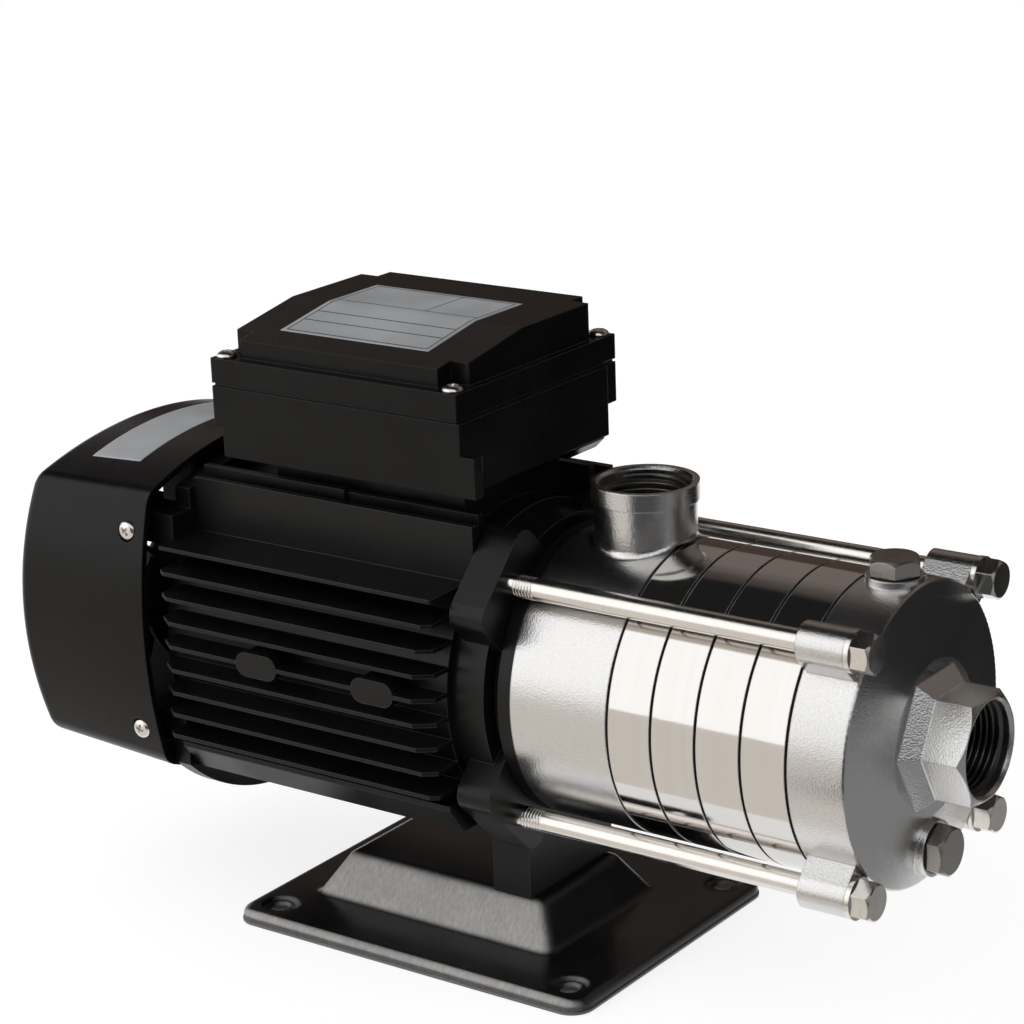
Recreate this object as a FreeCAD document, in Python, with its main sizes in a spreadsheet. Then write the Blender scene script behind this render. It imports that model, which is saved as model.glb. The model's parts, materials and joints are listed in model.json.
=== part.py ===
import FreeCAD, Part
import math
import os
import re
import Sketcher

# Horizontal multistage booster pump for a house, in millimetres. The shaft lies along X with the
# pump at +X and the motor's fan at -X. The origin is on the floor, at the middle of the four
# holes of the base plate, and Z points up. Sizes named "..._rise" and the heights of the motor
# and pump are measured from the shaft axis.

V = FreeCAD.Vector
STAGES = 4
FINS = 9
VANES = 6
FAN_BLADES = 7
BALLS = 7
STATOR_SLOTS = 18
AIR_SLOTS = 5
TERMINALS = 6
DOC = FreeCAD.newDocument("booster_pump")

SIZES = (
    # base plate
    ("shaft_height", 107.3, "shaft axis above the floor"),
    ("base_length", 161.8, "base plate along X"),
    ("base_width", 129.8, "base plate along Y"),
    ("base_corner", 9.0, "corner radius of the base plate"),
    ("base_rise", 5.0, "height of the flange with its rolled edge"),
    ("base_lip", 0.9, "height of the sheet's cut edge at the floor"),
    ("base_step", 0.5, "rolled edge behind the cut edge"),
    ("base_roll", 2.4, "radius of the rolled edge"),
    ("sheet_wall", 2.0, "pressed steel"),
    ("plateau_height", 21.0, "top of the pressed plateau"),
    ("plateau_middle", -7.5, "middle of the plateau's top"),
    ("plateau_length", 91.0, "plateau's top along X"),
    ("plateau_width", 52.0, "plateau's top along Y"),
    ("plateau_spread", 10.0, "foot of the plateau beyond its top, on each side"),
    ("plateau_round", 5.0, "radius of the plateau's edges"),
    ("plateau_foot", 2.5, "radius at the foot of the plateau"),
    ("base_hole_long", 136.0, "hole pattern along X"),
    ("base_hole_wide", 104.6, "hole pattern along Y"),
    ("base_hole_radius", 4.0, "fixing holes"),
    ("dimple_radius", 7.0, "pressed dimples round the fixing holes"),
    ("dimple_depth", 1.0, "pressed dimples round the fixing holes"),
    # bracket
    ("joint_x", 24.0, "face between motor housing and bracket"),
    ("spigot_wall", 6.0, "wall of the spigots in the housing"),
    ("bearing_hub", 6.0, "wall round the front bearing"),
    ("bearing_stop", 5.0, "shoulder in front of the front bearing"),
    ("bracket_web", 7.0, "web of the bracket round the front bearing"),
    ("slinger_room", 8.0, "free space round the slinger"),
    ("band_radius", 57.0, "round band of the bracket"),
    ("band_length", 14.0, "round band along X"),
    ("groove_length", 4.4, "dark groove in front of the band"),
    ("groove_depth", 4.7, "groove below the pump casing's radius"),
    ("flange_length", 5.4, "flange that carries the pump"),
    ("spigot_length", 4.0, "spigots of bracket and shield in the housing"),
    ("lug_setback", 3.5, "lugs behind the joint face"),
    ("lug_length", 14.5, "lugs along X"),
    ("lug_margin", 7.0, "lug beyond the rod's axis"),
    ("lug_half_width", 21.0, "half of a lug's width"),
    ("lug_sink", 4.0, "lugs inside the floor of the groove"),
    ("lug_round", 7.0, "radius of the lugs' corners"),
    ("foot_rear", 17.0, "rear face of the foot block"),
    ("foot_length", 17.0, "foot block along X"),
    ("foot_half_width", 27.0, "half of the foot block along Y"),
    ("foot_bolt_offset", 17.0, "foot bolts from the middle plane"),
    ("foot_bolt_radius", 4.0, "foot bolts"),
    ("foot_bolt_head", 5.5, "height of the foot bolts' heads"),
    ("foot_bolt_depth", 12.0, "foot bolts in the block"),
    # tie bolts
    ("rod_radius", 4.0, "tie bolts"),
    ("rod_clear", 3.8, "tie bolt clear of the pump casing"),
    ("rod_engage", 11.0, "thread in the lug"),
    ("rod_head", 7.0, "height of the hexagon head"),
    ("rod_flats", 13.0, "across the flats of the head"),
    ("head_end", 0.475, "round end of a hexagon head, as a share of its flats"),
    ("head_taper", 1.1, "taper of the bevel round a head's end"),
    ("washer_wall", 1.9, "washer under the head"),
    ("washer_radius", 7.6, "washer under the head"),
    # pump
    ("casing_radius", 54.7, "outside of the pump"),
    ("casing_wall", 4.0, "cast walls"),
    ("discharge_length", 40.8, "discharge casing"),
    ("port_place", 23.6, "discharge port behind the rear of its casing"),
    ("port_rise", 75.5, "rim of the discharge port above the shaft"),
    ("port_radius", 16.6, "inside of both G1 threads"),
    ("port_chamfer", 1.0, "chamfered mouth of both ports"),
    ("port_step", 1.6, "smaller bore behind the threads"),
    ("port_thread", 18.0, "length of both threads"),
    ("neck_wall", 2.0, "wall of the discharge neck"),
    ("collar_wall", 3.0, "wall of the collar at its rim"),
    ("collar_length", 6.8, "collar at its rim"),
    ("neck_fillet", 3.0, "fillet round the neck"),
    ("stage_pitch", 18.0, "one stage"),
    ("ring_wall", 2.4, "stage ring"),
    ("seam_width", 1.1, "dark seam between two rings"),
    ("seam_depth", 1.3, "depth of the seam"),
    ("seal_wall", 0.6, "seal at the bottom of the seam"),
    ("seal_gap", 0.02, "seal clear of the seam's walls"),
    ("suction_length", 23.1, "suction casing up to its rim"),
    ("suction_round", 1.0, "radius of the rim"),
    ("dome_rise", 4.3, "domed end beyond the rim"),
    ("flare_length", 6.0, "faceted foot of the suction port"),
    ("flare_circle", 26.9, "corner circle of the faceted foot"),
    ("flare_rim", 1.3, "flat ring round the faceted foot"),
    ("hex_circle", 21.0, "corner circle of the suction port"),
    ("hex_length", 15.0, "suction port beyond its foot"),
    ("hex_bevel", 2.2, "bevel round the end of the suction port"),
    ("hex_end", 0.87, "round end of the suction port, as a share of its circle"),
    ("boss_radius", 7.5, "rod bosses of the suction casing"),
    ("boss_setback", 2.6, "bosses behind the rear of the suction casing"),
    ("boss_length", 18.3, "rod bosses"),
    ("plug_radius", 6.5, "thread of the plugs"),
    ("plug_flats", 17.0, "across the flats of the plugs"),
    ("plug_head", 5.8, "height of the plugs' heads"),
    ("plug_engage", 8.0, "thread of the plugs in the casing"),
    ("seat_radius", 10.2, "seat of the plugs"),
    ("seat_rise", 2.0, "seat above the casing"),
    ("seal_washer_wall", 0.6, "seal washer of the plugs"),
    ("seal_washer_radius", 8.8, "seal washer of the plugs"),
    ("priming_place", 11.8, "priming plug behind the rear of the suction casing"),
    ("drain_drop", 41.0, "drain plug below the shaft"),
    # wet end inside
    ("plate_wall", 1.5, "plates of diffusers and shrouds"),
    ("vane_wall", 1.6, "vanes and blades"),
    ("eye_radius", 14.0, "eye of the impeller"),
    ("impeller_radius", 42.0, "impeller"),
    ("impeller_width", 7.2, "impeller along X"),
    ("impeller_gap", 1.2, "impeller clear of its diffuser"),
    ("return_width", 6.5, "return vanes along X"),
    ("running_gap", 0.3, "running clearance round the eye"),
    ("wet_shaft_radius", 6.0, "shaft in the impellers"),
    ("seal_shaft_radius", 7.0, "shaft in the seal"),
    ("sleeve_wall", 3.0, "shaft sleeves and impeller hubs"),
    ("collar_wide", 2.0, "collar behind the seal along X"),
    ("nut_disc", 1.5, "washer of the impeller nut"),
    ("nut_height", 7.0, "impeller nut"),
    ("seal_plate_wall", 3.2, "seal plate"),
    ("seal_hole_gap", 1.2, "seal plate clear of the shaft"),
    ("seal_cup_wall", 3.0, "cup of the seal plate round the seat"),
    ("seal_seat_gap", 0.8, "stationary seat clear of the shaft"),
    ("seal_core_wall", 1.5, "core of the rotating seal head"),
    ("seal_ring_length", 5.0, "running ring of the rotating seal head"),
    ("seal_seat_radius", 12.8, "stationary seal seat"),
    ("seal_seat_length", 6.0, "stationary seal seat"),
    ("seal_head_radius", 11.2, "rotating seal head"),
    ("seal_head_length", 16.0, "rotating seal head"),
    ("seal_wire", 0.8, "half of the seal spring's wire"),
    ("seal_turns", 3.0, "turns of the seal spring"),
    ("slinger_radius", 20.0, "water slinger"),
    ("slinger_wall", 3.0, "water slinger"),
    ("fit_gap", 0.03, "slide and press fits, on the radius"),
    # motor
    ("housing_length", 128.0, "motor housing"),
    ("housing_radius", 60.0, "barrel of the motor housing"),
    ("housing_wall", 5.0, "barrel of the motor housing"),
    ("envelope_half", 72.0, "fin tips at the shaft's height"),
    ("envelope_arc", 190.0, "bulge of the fin tips"),
    ("fin_pitch", 9.3, "side fins"),
    ("fin_first", 41.0, "highest side fin above the shaft"),
    ("fin_tip", 1.5, "thickness of a fin at its tip"),
    ("fin_root", 2.8, "thickness of a fin at its root"),
    ("fin_nose", 7.0, "bevelled ends of the fins along X"),
    ("fin_nose_drop", 5.0, "bevelled ends of the fins along Y"),
    ("plate_place", 43.5, "upright plate from the middle plane"),
    ("plate_top", 63.0, "top of the upright plate"),
    ("ridge_place", 37.0, "second ridge from the middle plane"),
    ("ridge_top", 66.0, "top of the second ridge"),
    ("ridge_step", 60.0, "length of the lower part of the ridge"),
    ("rib_wall", 3.0, "plates and ridges on top"),
    ("stud_angle", 53.0, "studs above the middle plane, in degrees"),
    ("stud_clear", 0.5, "stud bosses clear of the bracket's band"),
    ("screw_clear", 0.2, "clearance holes of studs and screws, on the radius"),
    ("stud_room", 0.4, "free space round the studs' heads, on the radius"),
    ("stud_flats", 8.0, "across the flats of the studs' heads"),
    ("stud_radius", 2.5, "studs"),
    ("stud_boss", 5.0, "stud bosses"),
    ("stud_head", 3.5, "height of the studs' heads"),
    ("stud_engage", 9.0, "thread of the studs in the lugs"),
    ("pad_height", 9.5, "oval pads on the middle fin"),
    ("pad_length", 19.5, "oval pads on the middle fin"),
    ("pad_root", 4.0, "oval pads inside the barrel"),
    ("pad_place", 24.9, "first pad behind the joint face"),
    ("pad_pitch", 54.2, "from one pad to the next"),
    ("keel_low", 51.5, "lower edge of the corner blocks below the shaft"),
    ("keel_high", 39.0, "upper edge of the corner blocks below the shaft"),
    ("keel_half", 61.0, "upper edge of the corner blocks from the middle plane"),
    ("keel_foot", 53.0, "lower edge of the corner blocks from the middle plane"),
    ("stack_length", 75.0, "stator and rotor stack"),
    ("stack_front", 29.0, "front of the stack behind the joint face"),
    ("rotor_radius", 29.0, "rotor core"),
    ("air_gap", 0.4, "air gap"),
    ("slot_depth", 12.0, "stator slots"),
    ("slot_width", 4.0, "stator slots"),
    ("coil_inner", 2.6, "end turns outside the stator's bore"),
    ("coil_outer", 3.0, "end turns outside the slots"),
    ("bar_gap", 0.4, "bars clear of the slots' walls"),
    ("turn_length", 15.0, "end turns of the windings"),
    ("rotor_shaft_radius", 11.0, "shaft in the rotor core"),
    ("end_ring_length", 6.0, "end rings of the rotor"),
    ("end_ring_wall", 8.0, "end rings of the rotor"),
    ("shaft_reach", 9.0, "end of the shaft beyond the suction casing's rear"),
    # bearings
    ("front_bore", 8.5, "half bore of the front bearing"),
    ("front_outer", 20.0, "half outside of the front bearing"),
    ("front_width", 12.0, "front bearing"),
    ("rear_bore", 7.5, "half bore of the rear bearing"),
    ("rear_outer", 17.5, "half outside of the rear bearing"),
    ("rear_width", 11.0, "rear bearing"),
    ("race_wall", 3.6, "bearing rings at their edges"),
    ("groove_sink", 1.4, "depth of the ball groove"),
    ("cage_wall", 1.6, "ball cages"),
    ("cage_width", 3.4, "ball cages"),
    ("wave_wall", 0.8, "wave washer"),
    # rear shield, cowl and fan
    ("shield_flange", 7.0, "shield between housing and cowl"),
    ("shield_web", 5.0, "web of the shield"),
    ("rear_hub_wall", 5.0, "wall round the rear bearing"),
    ("rear_cap_wall", 3.0, "wall behind the rear bearing"),
    ("skirt_half", 58.0, "lower skirt of the shield"),
    ("skirt_drop", 50.0, "corners of the skirt below the shaft"),
    ("skirt_arc", 82.0, "bottom arc of the skirt"),
    ("skirt_height", 14.0, "lower skirt at its sides"),
    ("crest_half", 48.0, "upper skirt of the shield"),
    ("crest_rise", 59.0, "corners of the upper skirt above the shaft"),
    ("crest_arc", 165.0, "top arc of the upper skirt"),
    ("crest_low", 20.0, "lower edge of the upper skirt above the shaft"),
    ("cowl_length", 69.0, "fan cover"),
    ("cowl_half", 63.5, "corners of the cowl from the middle plane"),
    ("cowl_top", 60.0, "upper corners above the shaft"),
    ("cowl_bottom", 49.0, "lower corners below the shaft"),
    ("cowl_side_arc", 190.0, "bulge of the sides"),
    ("cowl_top_arc", 165.0, "bulge of the top"),
    ("cowl_bottom_arc", 160.0, "bulge of the bottom"),
    ("cowl_corner", 9.0, "rounding of the long corners"),
    ("cowl_draft", 2.5, "taper towards the rear"),
    ("cowl_round", 5.0, "rounding of the rear edge"),
    ("cowl_rear_arc", 250.0, "bulge of the rear"),
    ("cowl_rear_half", 80.0, "half of the bulge's chord"),
    ("cowl_wall", 2.0, "wall of the cowl"),
    ("cowl_screw_place", 9.0, "cowl screws behind the cowl's front edge"),
    ("cowl_screw_high", 45.0, "upper cowl screws above the shaft"),
    ("cowl_screw_low", 35.0, "lower cowl screws below the shaft"),
    ("cowl_screw_radius", 2.0, "cowl screws"),
    ("cowl_screw_head", 3.9, "heads of the cowl screws"),
    ("cowl_screw_crown", 2.2, "height of the cowl screws' heads"),
    ("cowl_screw_length", 9.0, "cowl screws below their heads"),
    ("cowl_dimple_gap", 0.5, "dimples round the cowl screws' heads"),
    ("cowl_screw_seat", 2.6, "seat of the cowl screws beyond the cowl's corners"),
    ("cowl_lug_gap", 0.5, "shield lugs clear of the cowl's corners"),
    ("cowl_lug_height", 12.0, "shield lugs"),
    ("cowl_lug_length", 15.0, "shield lugs in the cowl"),
    ("grille_inner", 10.0, "inside of the first air slot"),
    ("grille_pitch", 8.0, "air slots"),
    ("grille_slot", 4.2, "width of an air slot"),
    ("fan_radius", 55.0, "fan"),
    ("fan_hub", 13.0, "fan hub"),
    ("fan_disc", 30.0, "fan disc"),
    ("fan_disc_wall", 2.0, "fan disc"),
    ("fan_disc_place", 4.0, "fan disc behind the fan's front"),
    ("fan_blade_root", 3.0, "blades inside the hub"),
    ("fan_length", 18.0, "fan along X"),
    ("fan_place", 17.0, "fan clear of the cowl's rear wall"),
    ("fan_shaft_radius", 6.5, "shaft in the fan"),
    ("blade_wall", 2.2, "fan blades"),
    # terminal box
    ("box_floor", 75.2, "underside of the box above the shaft"),
    ("box_middle", -30.5, "middle of the lid along X"),
    ("box_rear_step", 4.0, "box base inside the lid's rear end"),
    ("box_front_step", 1.0, "box base beyond the lid's front end"),
    ("box_corner", 7.0, "cut corner of the base"),
    ("ear_length", 6.0, "ear at the base's front corner along X"),
    ("ear_width", 5.0, "ear at the base's front corner along Y"),
    ("ear_height", 15.0, "ear at the base's front corner"),
    ("box_width", 100.0, "box base and lid"),
    ("box_height", 28.0, "box base up to the lid"),
    ("box_wall", 2.5, "walls of box and lid"),
    ("flange_height", 16.5, "long upper part of the base"),
    ("lid_length", 113.0, "lid and long upper part"),
    ("lid_skirt", 9.5, "skirt of the lid"),
    ("crown_height", 14.0, "raised part of the lid"),
    ("crown_end", 3.0, "raised part of the lid inside the skirt's ends"),
    ("crown_side", 4.5, "raised part of the lid inside the skirt's sides"),
    ("crown_notch", 8.0, "screw corners of the raised part"),
    ("crown_slope", 7.0, "fall of the sloped front"),
    ("crown_crease", 4.5, "crease in front of the middle plane"),
    ("lid_screw_inset", 4.2, "lid screws from the skirt"),
    ("lid_screw_radius", 2.0, "lid screws"),
    ("lid_screw_head", 3.8, "heads of the lid screws"),
    ("lid_screw_crown", 2.4, "height of the lid screws' heads"),
    ("lid_screw_reach", 11.0, "lid screws in the base"),
    ("lid_screw_bore", 14.0, "holes for the lid screws in the base"),
    ("gasket_wall", 1.2, "gasket between base and lid"),
    ("gasket_inset", 0.8, "gasket behind the box's outside"),
    ("gasket_rim", 3.0, "gasket at the front end"),
    ("screw_corner", 7.0, "corners of the base round the lid screws"),
    ("well_drop", 8.0, "deeper rear part of the base"),
    ("well_bevel", 4.0, "lower edges of the deeper part"),
    ("well_place", 12.0, "deeper part in front of the base's rear"),
    ("pedestal_half", 30.0, "cast pedestal under the box"),
    ("pedestal_rear", 8.0, "pedestal in front of the base's rear"),
    ("pedestal_front", 14.0, "pedestal behind the base's front"),
    ("gland_radius", 8.0, "thread of the cable gland"),
    ("gland_flats", 20.0, "gland and gland nut"),
    ("gland_bore", 5.0, "cable hole of the gland"),
    ("gland_thread", 6.0, "thread of the gland inside the wall"),
    ("gland_collar", 5.0, "collar of the gland"),
    ("gland_neck", 2.0, "gap between the gland's collar and cap"),
    ("gland_barrel", 8.0, "round part of the gland"),
    ("gland_cap", 9.0, "cap of the gland"),
    ("gland_nut_height", 4.0, "nut of the gland"),
    ("gland_place", 24.5, "gland behind the base's front"),
    ("cap_radius", 14.5, "run capacitor"),
    ("cap_spare", 51.0, "run capacitor shorter than the lid"),
    ("strip_length", 62.0, "terminal block"),
    ("strip_width", 20.0, "terminal block"),
    ("strip_height", 12.0, "terminal block"),
    ("strip_base", 7.2, "body of the terminal block between its barriers"),
    ("strip_barrier", 1.6, "barriers of the terminal block"),
    ("strip_place", 6.0, "terminal block behind the front wall"),
    ("stud_across", 6.0, "across the flats of the terminal studs"),
    ("stud_tall", 4.2, "height of the terminal studs"),
    ("cap_place", 8.0, "capacitor in front of the box's rear wall"),
    ("cap_side", 4.0, "capacitor in front of the box's far wall"),
    ("cap_nose", 3.0, "narrower end of the capacitor"),
    ("duct_radius", 9.0, "wire duct between box and motor"),
)

# Places and sizes that follow from the driving ones
RULES = {
    "rod_circle": "casing_radius + rod_clear + rod_radius",
    "rod_side": "rod_circle * sqrt(0.5)",
    "lug_rear": "joint_x + lug_setback",
    "lug_front": "lug_rear + lug_length",
    "band_front": "joint_x + band_length",
    "groove_front": "band_front + groove_length",
    "casing_rear": "groove_front + flange_length",
    "casing_bore": "casing_radius - casing_wall",
    "port_x": "casing_rear + port_place",
    "neck_radius": "port_radius + neck_wall",
    "collar_radius": "port_radius + collar_wall",
    "ring_start": "casing_rear + discharge_length",
    "ring_bore": "casing_radius - ring_wall",
    "suction_rear": "ring_start + %d * stage_pitch" % STAGES,
    "suction_rim": "suction_rear + suction_length",
    "suction_face": "suction_rim + dome_rise",
    "hex_start": "suction_face + flare_length",
    "port_end": "hex_start + hex_length",
    "boss_rear": "suction_rear + boss_setback",
    "boss_front": "boss_rear + boss_length",
    "head_rear": "boss_front + washer_wall",
    "priming_x": "suction_rear + priming_place",
    "seat_top": "casing_radius + seat_rise",
    "seat_front": "suction_face - 1 + seat_rise",
    "foot_middle": "foot_rear + foot_length / 2",
    "housing_rear": "joint_x - housing_length",
    "housing_bore": "housing_radius - housing_wall",
    "cowl_front": "housing_rear - shield_flange",
    "cowl_rear": "cowl_front - cowl_length",
    "cowl_rear_sag": "cowl_rear_arc - sqrt(cowl_rear_arc ^ 2 - cowl_rear_half ^ 2)",
    "stud_circle": "band_radius + stud_boss + stud_clear",
    "stud_side": "stud_circle * cos(stud_angle)",
    "stud_rise": "stud_circle * sin(stud_angle)",
    "stud_rear": "housing_rear - shield_web",
    "plate_foot": "sqrt((band_radius + stud_clear) ^ 2 - (plate_place - rib_wall / 2) ^ 2)",
    "screw_seat": "cowl_half + cowl_screw_seat",
    "cowl_screw_x": "cowl_front - cowl_screw_place",
    "stack_end": "joint_x - stack_front",
    "stack_rear": "stack_end - stack_length",
    "front_seat": "joint_x + 0.5",
    "front_shoulder": "front_seat + front_width",
    "rear_shoulder": "housing_rear + 3",
    "rear_seat": "rear_shoulder - rear_width",
    "seal_plate_front": "casing_rear + seal_plate_wall",
    "seat_rear": "casing_rear + 2",
    "seal_face": "seat_rear + seal_seat_length",
    "seal_stop": "seal_face + seal_head_length",
    "hub_radius": "wet_shaft_radius + sleeve_wall",
    "eye_hole": "eye_radius + vane_wall + running_gap",
    "cap_y": "box_width / 2 - box_wall - cap_radius - cap_side",
    "lid_rear": "box_middle - lid_length / 2",
    "lid_front": "box_middle + lid_length / 2",
    "box_rear": "lid_rear + box_rear_step",
    "box_front": "lid_front + box_front_step",
    "room_rear": "box_rear + box_wall",
    "room_front": "lid_front - gasket_inset - gasket_rim",
    "box_inside": "box_floor + box_wall",
    "gland_x": "box_front - gland_place",
    "cap_length": "lid_length - cap_spare",
    "gland_rise": "box_inside + gland_flats / sqrt(3) + 0.3",
    "parting": "box_floor + box_height",
    "crown_floor": "parting + lid_skirt",
    "crown_top": "crown_floor + crown_height",
}

SHEET = DOC.addObject("Spreadsheet::Sheet", "dim")
NAMES = {name for name, _, _ in SIZES}
PIECES = {}


def fill_sheet():
    """Writes each driving size into its own cell, with its alias and a note."""
    for row, (name, size, note) in enumerate(SIZES, 1):
        SHEET.set("A%d" % row, name)
        SHEET.set("B%d" % row, str(size))
        SHEET.set("C%d" % row, note)
        SHEET.setAlias("B%d" % row, name)
    DOC.recompute()


def rule(text):
    """Turns the names in a rule into references to the sheet."""
    def reference(match):
        word = match.group()
        if word in RULES:
            return "(%s)" % rule(RULES[word])
        return "dim." + word if word in NAMES else word
    return re.sub(r"[A-Za-z_]\w*", reference, str(text))


def value(text):
    """The present value of a rule, for starting points of sketches."""
    return float(SHEET.evalExpression(rule(text)))


def bind(thing, path, text):
    """Ties one property to a rule."""
    thing.setExpression(path, rule(text))


def place(thing, x="0", y="0", z="0"):
    """Ties the place of a piece to three rules."""
    for axis, text in zip("xyz", (x, y, z)):
        if text != "0":
            bind(thing, "Placement.Base." + axis, text)


def keep(name, thing):
    """Names a finished sub-part, so that it is checked and written."""
    thing.Label = name
    PIECES[name] = thing
    return thing


def new_body(name, z="shaft_height"):
    """A body whose own origin lies on the shaft axis, or on the floor."""
    body = DOC.addObject("PartDesign::Body", name)
    place(body, z=z)
    return keep(name, body)


def sketch_on(body, role, offset="0", turn=0):
    """An empty sketch on one of the body's own planes, shifted along its normal."""
    sketch = body.newObject("Sketcher::SketchObject", body.Name + "_sketch")
    plane = [item for item in body.Origin.OriginFeatures if item.Role == role][0]
    sketch.AttachmentSupport = [(plane, "")]
    sketch.MapMode = "FlatFace"
    sketch.AttachmentOffset = FreeCAD.Placement(V(0, 0, value(offset)),
                                                FreeCAD.Rotation(V(0, 0, 1), turn))
    if offset != "0":
        bind(sketch, "AttachmentOffset.Base.z", offset)
    return sketch


def tie_point(sketch, geometry, vertex, x, y):
    """Holds a point of the sketch by its two coordinates."""
    for kind, text in (("DistanceX", x), ("DistanceY", y)):
        index = sketch.addConstraint(
            Sketcher.Constraint(kind, -1, 1, geometry, vertex, value(text)))
        bind(sketch, "Constraints[%d]" % index, text)


def add_outline(sketch, points):
    """A closed outline, counter-clockwise. A third item makes the run an arc of that radius,
    which bulges outwards, or inwards where it starts with a minus sign."""
    first = sketch.GeometryCount
    spots = [V(value(point[0]), value(point[1]), 0) for point in points]
    starts = []
    for number, point in enumerate(points):
        start = spots[number]
        end = spots[(number + 1) % len(spots)]
        if len(point) == 2:
            sketch.addGeometry(Part.LineSegment(start, end), False)
            starts.append(1)
            continue
        inward = point[2].startswith("-")
        radius = value(point[2].lstrip("-"))
        chord = end - start
        sag = radius - math.sqrt(radius ** 2 - chord.Length ** 2 / 4)
        side = V(chord.y, -chord.x, 0).normalize() * (-sag if inward else sag)
        sketch.addGeometry(Part.Arc(start, (start + end) * 0.5 + side, end), False)
        starts.append(2 if inward else 1)
    for number, point in enumerate(points):
        here = first + number
        after = (number + 1) % len(points)
        sketch.addConstraint(Sketcher.Constraint(
            "Coincident", here, 3 - starts[number], first + after, starts[after]))
        tie_point(sketch, here, starts[number], point[0], point[1])
        if len(point) == 3:
            index = sketch.addConstraint(
                Sketcher.Constraint("Radius", here, value(point[2].lstrip("-"))))
            bind(sketch, "Constraints[%d]" % index, point[2].lstrip("-"))


def add_circle(sketch, x, y, radius):
    """A circle held by its centre and radius."""
    here = sketch.addGeometry(Part.Circle(V(value(x), value(y), 0), V(0, 0, 1), value(radius)))
    tie_point(sketch, here, 3, x, y)
    index = sketch.addConstraint(Sketcher.Constraint("Radius", here, value(radius)))
    bind(sketch, "Constraints[%d]" % index, radius)


def box_outline(left, right, low, high):
    """A rectangle as outline points."""
    return [(left, low), (right, low), (right, high), (left, high)]


def rounded_outline(half_x, half_y, radius):
    """A rectangle round the origin with rounded corners."""
    flat_x = "(%s) - (%s)" % (half_x, radius)
    flat_y = "(%s) - (%s)" % (half_y, radius)
    return [("-(%s)" % flat_x, "-(%s)" % half_y), (flat_x, "-(%s)" % half_y, radius),
            (half_x, "-(%s)" % flat_y), (half_x, flat_y, radius),
            (flat_x, half_y), ("-(%s)" % flat_x, half_y, radius),
            ("-(%s)" % half_x, flat_y), ("-(%s)" % half_x, "-(%s)" % flat_y, radius)]


def extrude(body, role, start, length, outlines=(), circles=(), cut=False, turn=0):
    """Pads or pockets outlines from a plane at start, along the plane's normal."""
    sketch = sketch_on(body, role, start, turn)
    for points in outlines:
        add_outline(sketch, points)
    for circle in circles:
        add_circle(sketch, *circle)
    kind = "PartDesign::Pocket" if cut else "PartDesign::Pad"
    feature = body.newObject(kind, body.Name + ("_cut" if cut else "_pad"))
    feature.Profile = sketch
    feature.Reversed = cut
    bind(feature, "Length", length)
    return feature


def loft(body, role, ends, cut=False):
    """A loft through outlines, each at its own place along the plane's normal."""
    sections = []
    for start, points in ends:
        sketch = sketch_on(body, role, start)
        add_outline(sketch, points)
        sections.append(sketch)
    kind = "PartDesign::SubtractiveLoft" if cut else "PartDesign::AdditiveLoft"
    feature = body.newObject(kind, body.Name + "_loft")
    feature.Profile = sections[0]
    feature.Sections = sections[1:]
    feature.Ruled = True
    return feature


def revolve(body, points, cut=False):
    """Turns an outline of (x, radius) points about the shaft axis."""
    sketch = sketch_on(body, "XZ_Plane")
    add_outline(sketch, points)
    kind = "PartDesign::Groove" if cut else "PartDesign::Revolution"
    feature = body.newObject(kind, body.Name + "_turned")
    feature.Profile = sketch
    feature.ReferenceAxis = (sketch, ["H_Axis"])
    feature.Angle = 360
    return feature


def turned(name, points):
    """A sub-part made by turning one outline about the shaft axis."""
    body = new_body(name)
    revolve(body, points)
    return body


def tube_outline(x0, x1, inner, outer):
    """The outline of a plain ring on the shaft axis."""
    return [(x0, inner), (x1, inner), (x1, outer), (x0, outer)]


def pattern(body, feature, count):
    """Repeats a feature round the shaft axis."""
    polar = body.newObject("PartDesign::PolarPattern", body.Name + "_pattern")
    polar.Originals = [feature]
    polar.Axis = (axis_of(body, "X_Axis"), [""])
    polar.Angle = 360
    polar.Occurrences = count
    body.Tip = polar
    return polar


def axis_of(body, role):
    """One of the body's own axes."""
    return [item for item in body.Origin.OriginFeatures if item.Role == role][0]


def round_edges(body, radius, wanted):
    """Rounds the edges of the body's present shape that the test picks."""
    DOC.recompute()
    base = body.Tip
    names = ["Edge%d" % number for number, edge in enumerate(base.Shape.Edges, 1) if wanted(edge)]
    if not names:
        raise RuntimeError("no edge to round on " + body.Label)
    fillet = body.newObject("PartDesign::Fillet", body.Name + "_fillet")
    fillet.Base = (base, names)
    bind(fillet, "Radius", radius)
    return fillet


def bevel(body, size, wanted):
    """Chamfers the edges of the body's present shape that the test picks."""
    DOC.recompute()
    base = body.Tip
    names = ["Edge%d" % number for number, edge in enumerate(base.Shape.Edges, 1) if wanted(edge)]
    if not names:
        raise RuntimeError("no edge to chamfer on " + body.Label)
    chamfer = body.newObject("PartDesign::Chamfer", body.Name + "_chamfer")
    chamfer.Base = (base, names)
    bind(chamfer, "Size", size)
    return chamfer


def along(edge, axis, share=0.98):
    """Whether a straight edge runs along the axis."""
    ends = edge.Vertexes
    if len(ends) < 2:
        return False
    run = ends[1].Point - ends[0].Point
    straight = abs(run.Length - edge.Length) < 0.001
    return straight and abs(run.normalize().dot(axis)) > share


def level(edge, low, high, axis="z"):
    """Whether all of an edge lies between two places along an axis."""
    box = edge.BoundBox
    least, most = {"x": (box.XMin, box.XMax), "y": (box.YMin, box.YMax),
                   "z": (box.ZMin, box.ZMax)}[axis]
    return least > low and most < high


AXES = {"x": FreeCAD.Rotation(V(0, 1, 0), 90), "y": FreeCAD.Rotation(V(1, 0, 0), -90),
        "z": FreeCAD.Rotation()}


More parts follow.
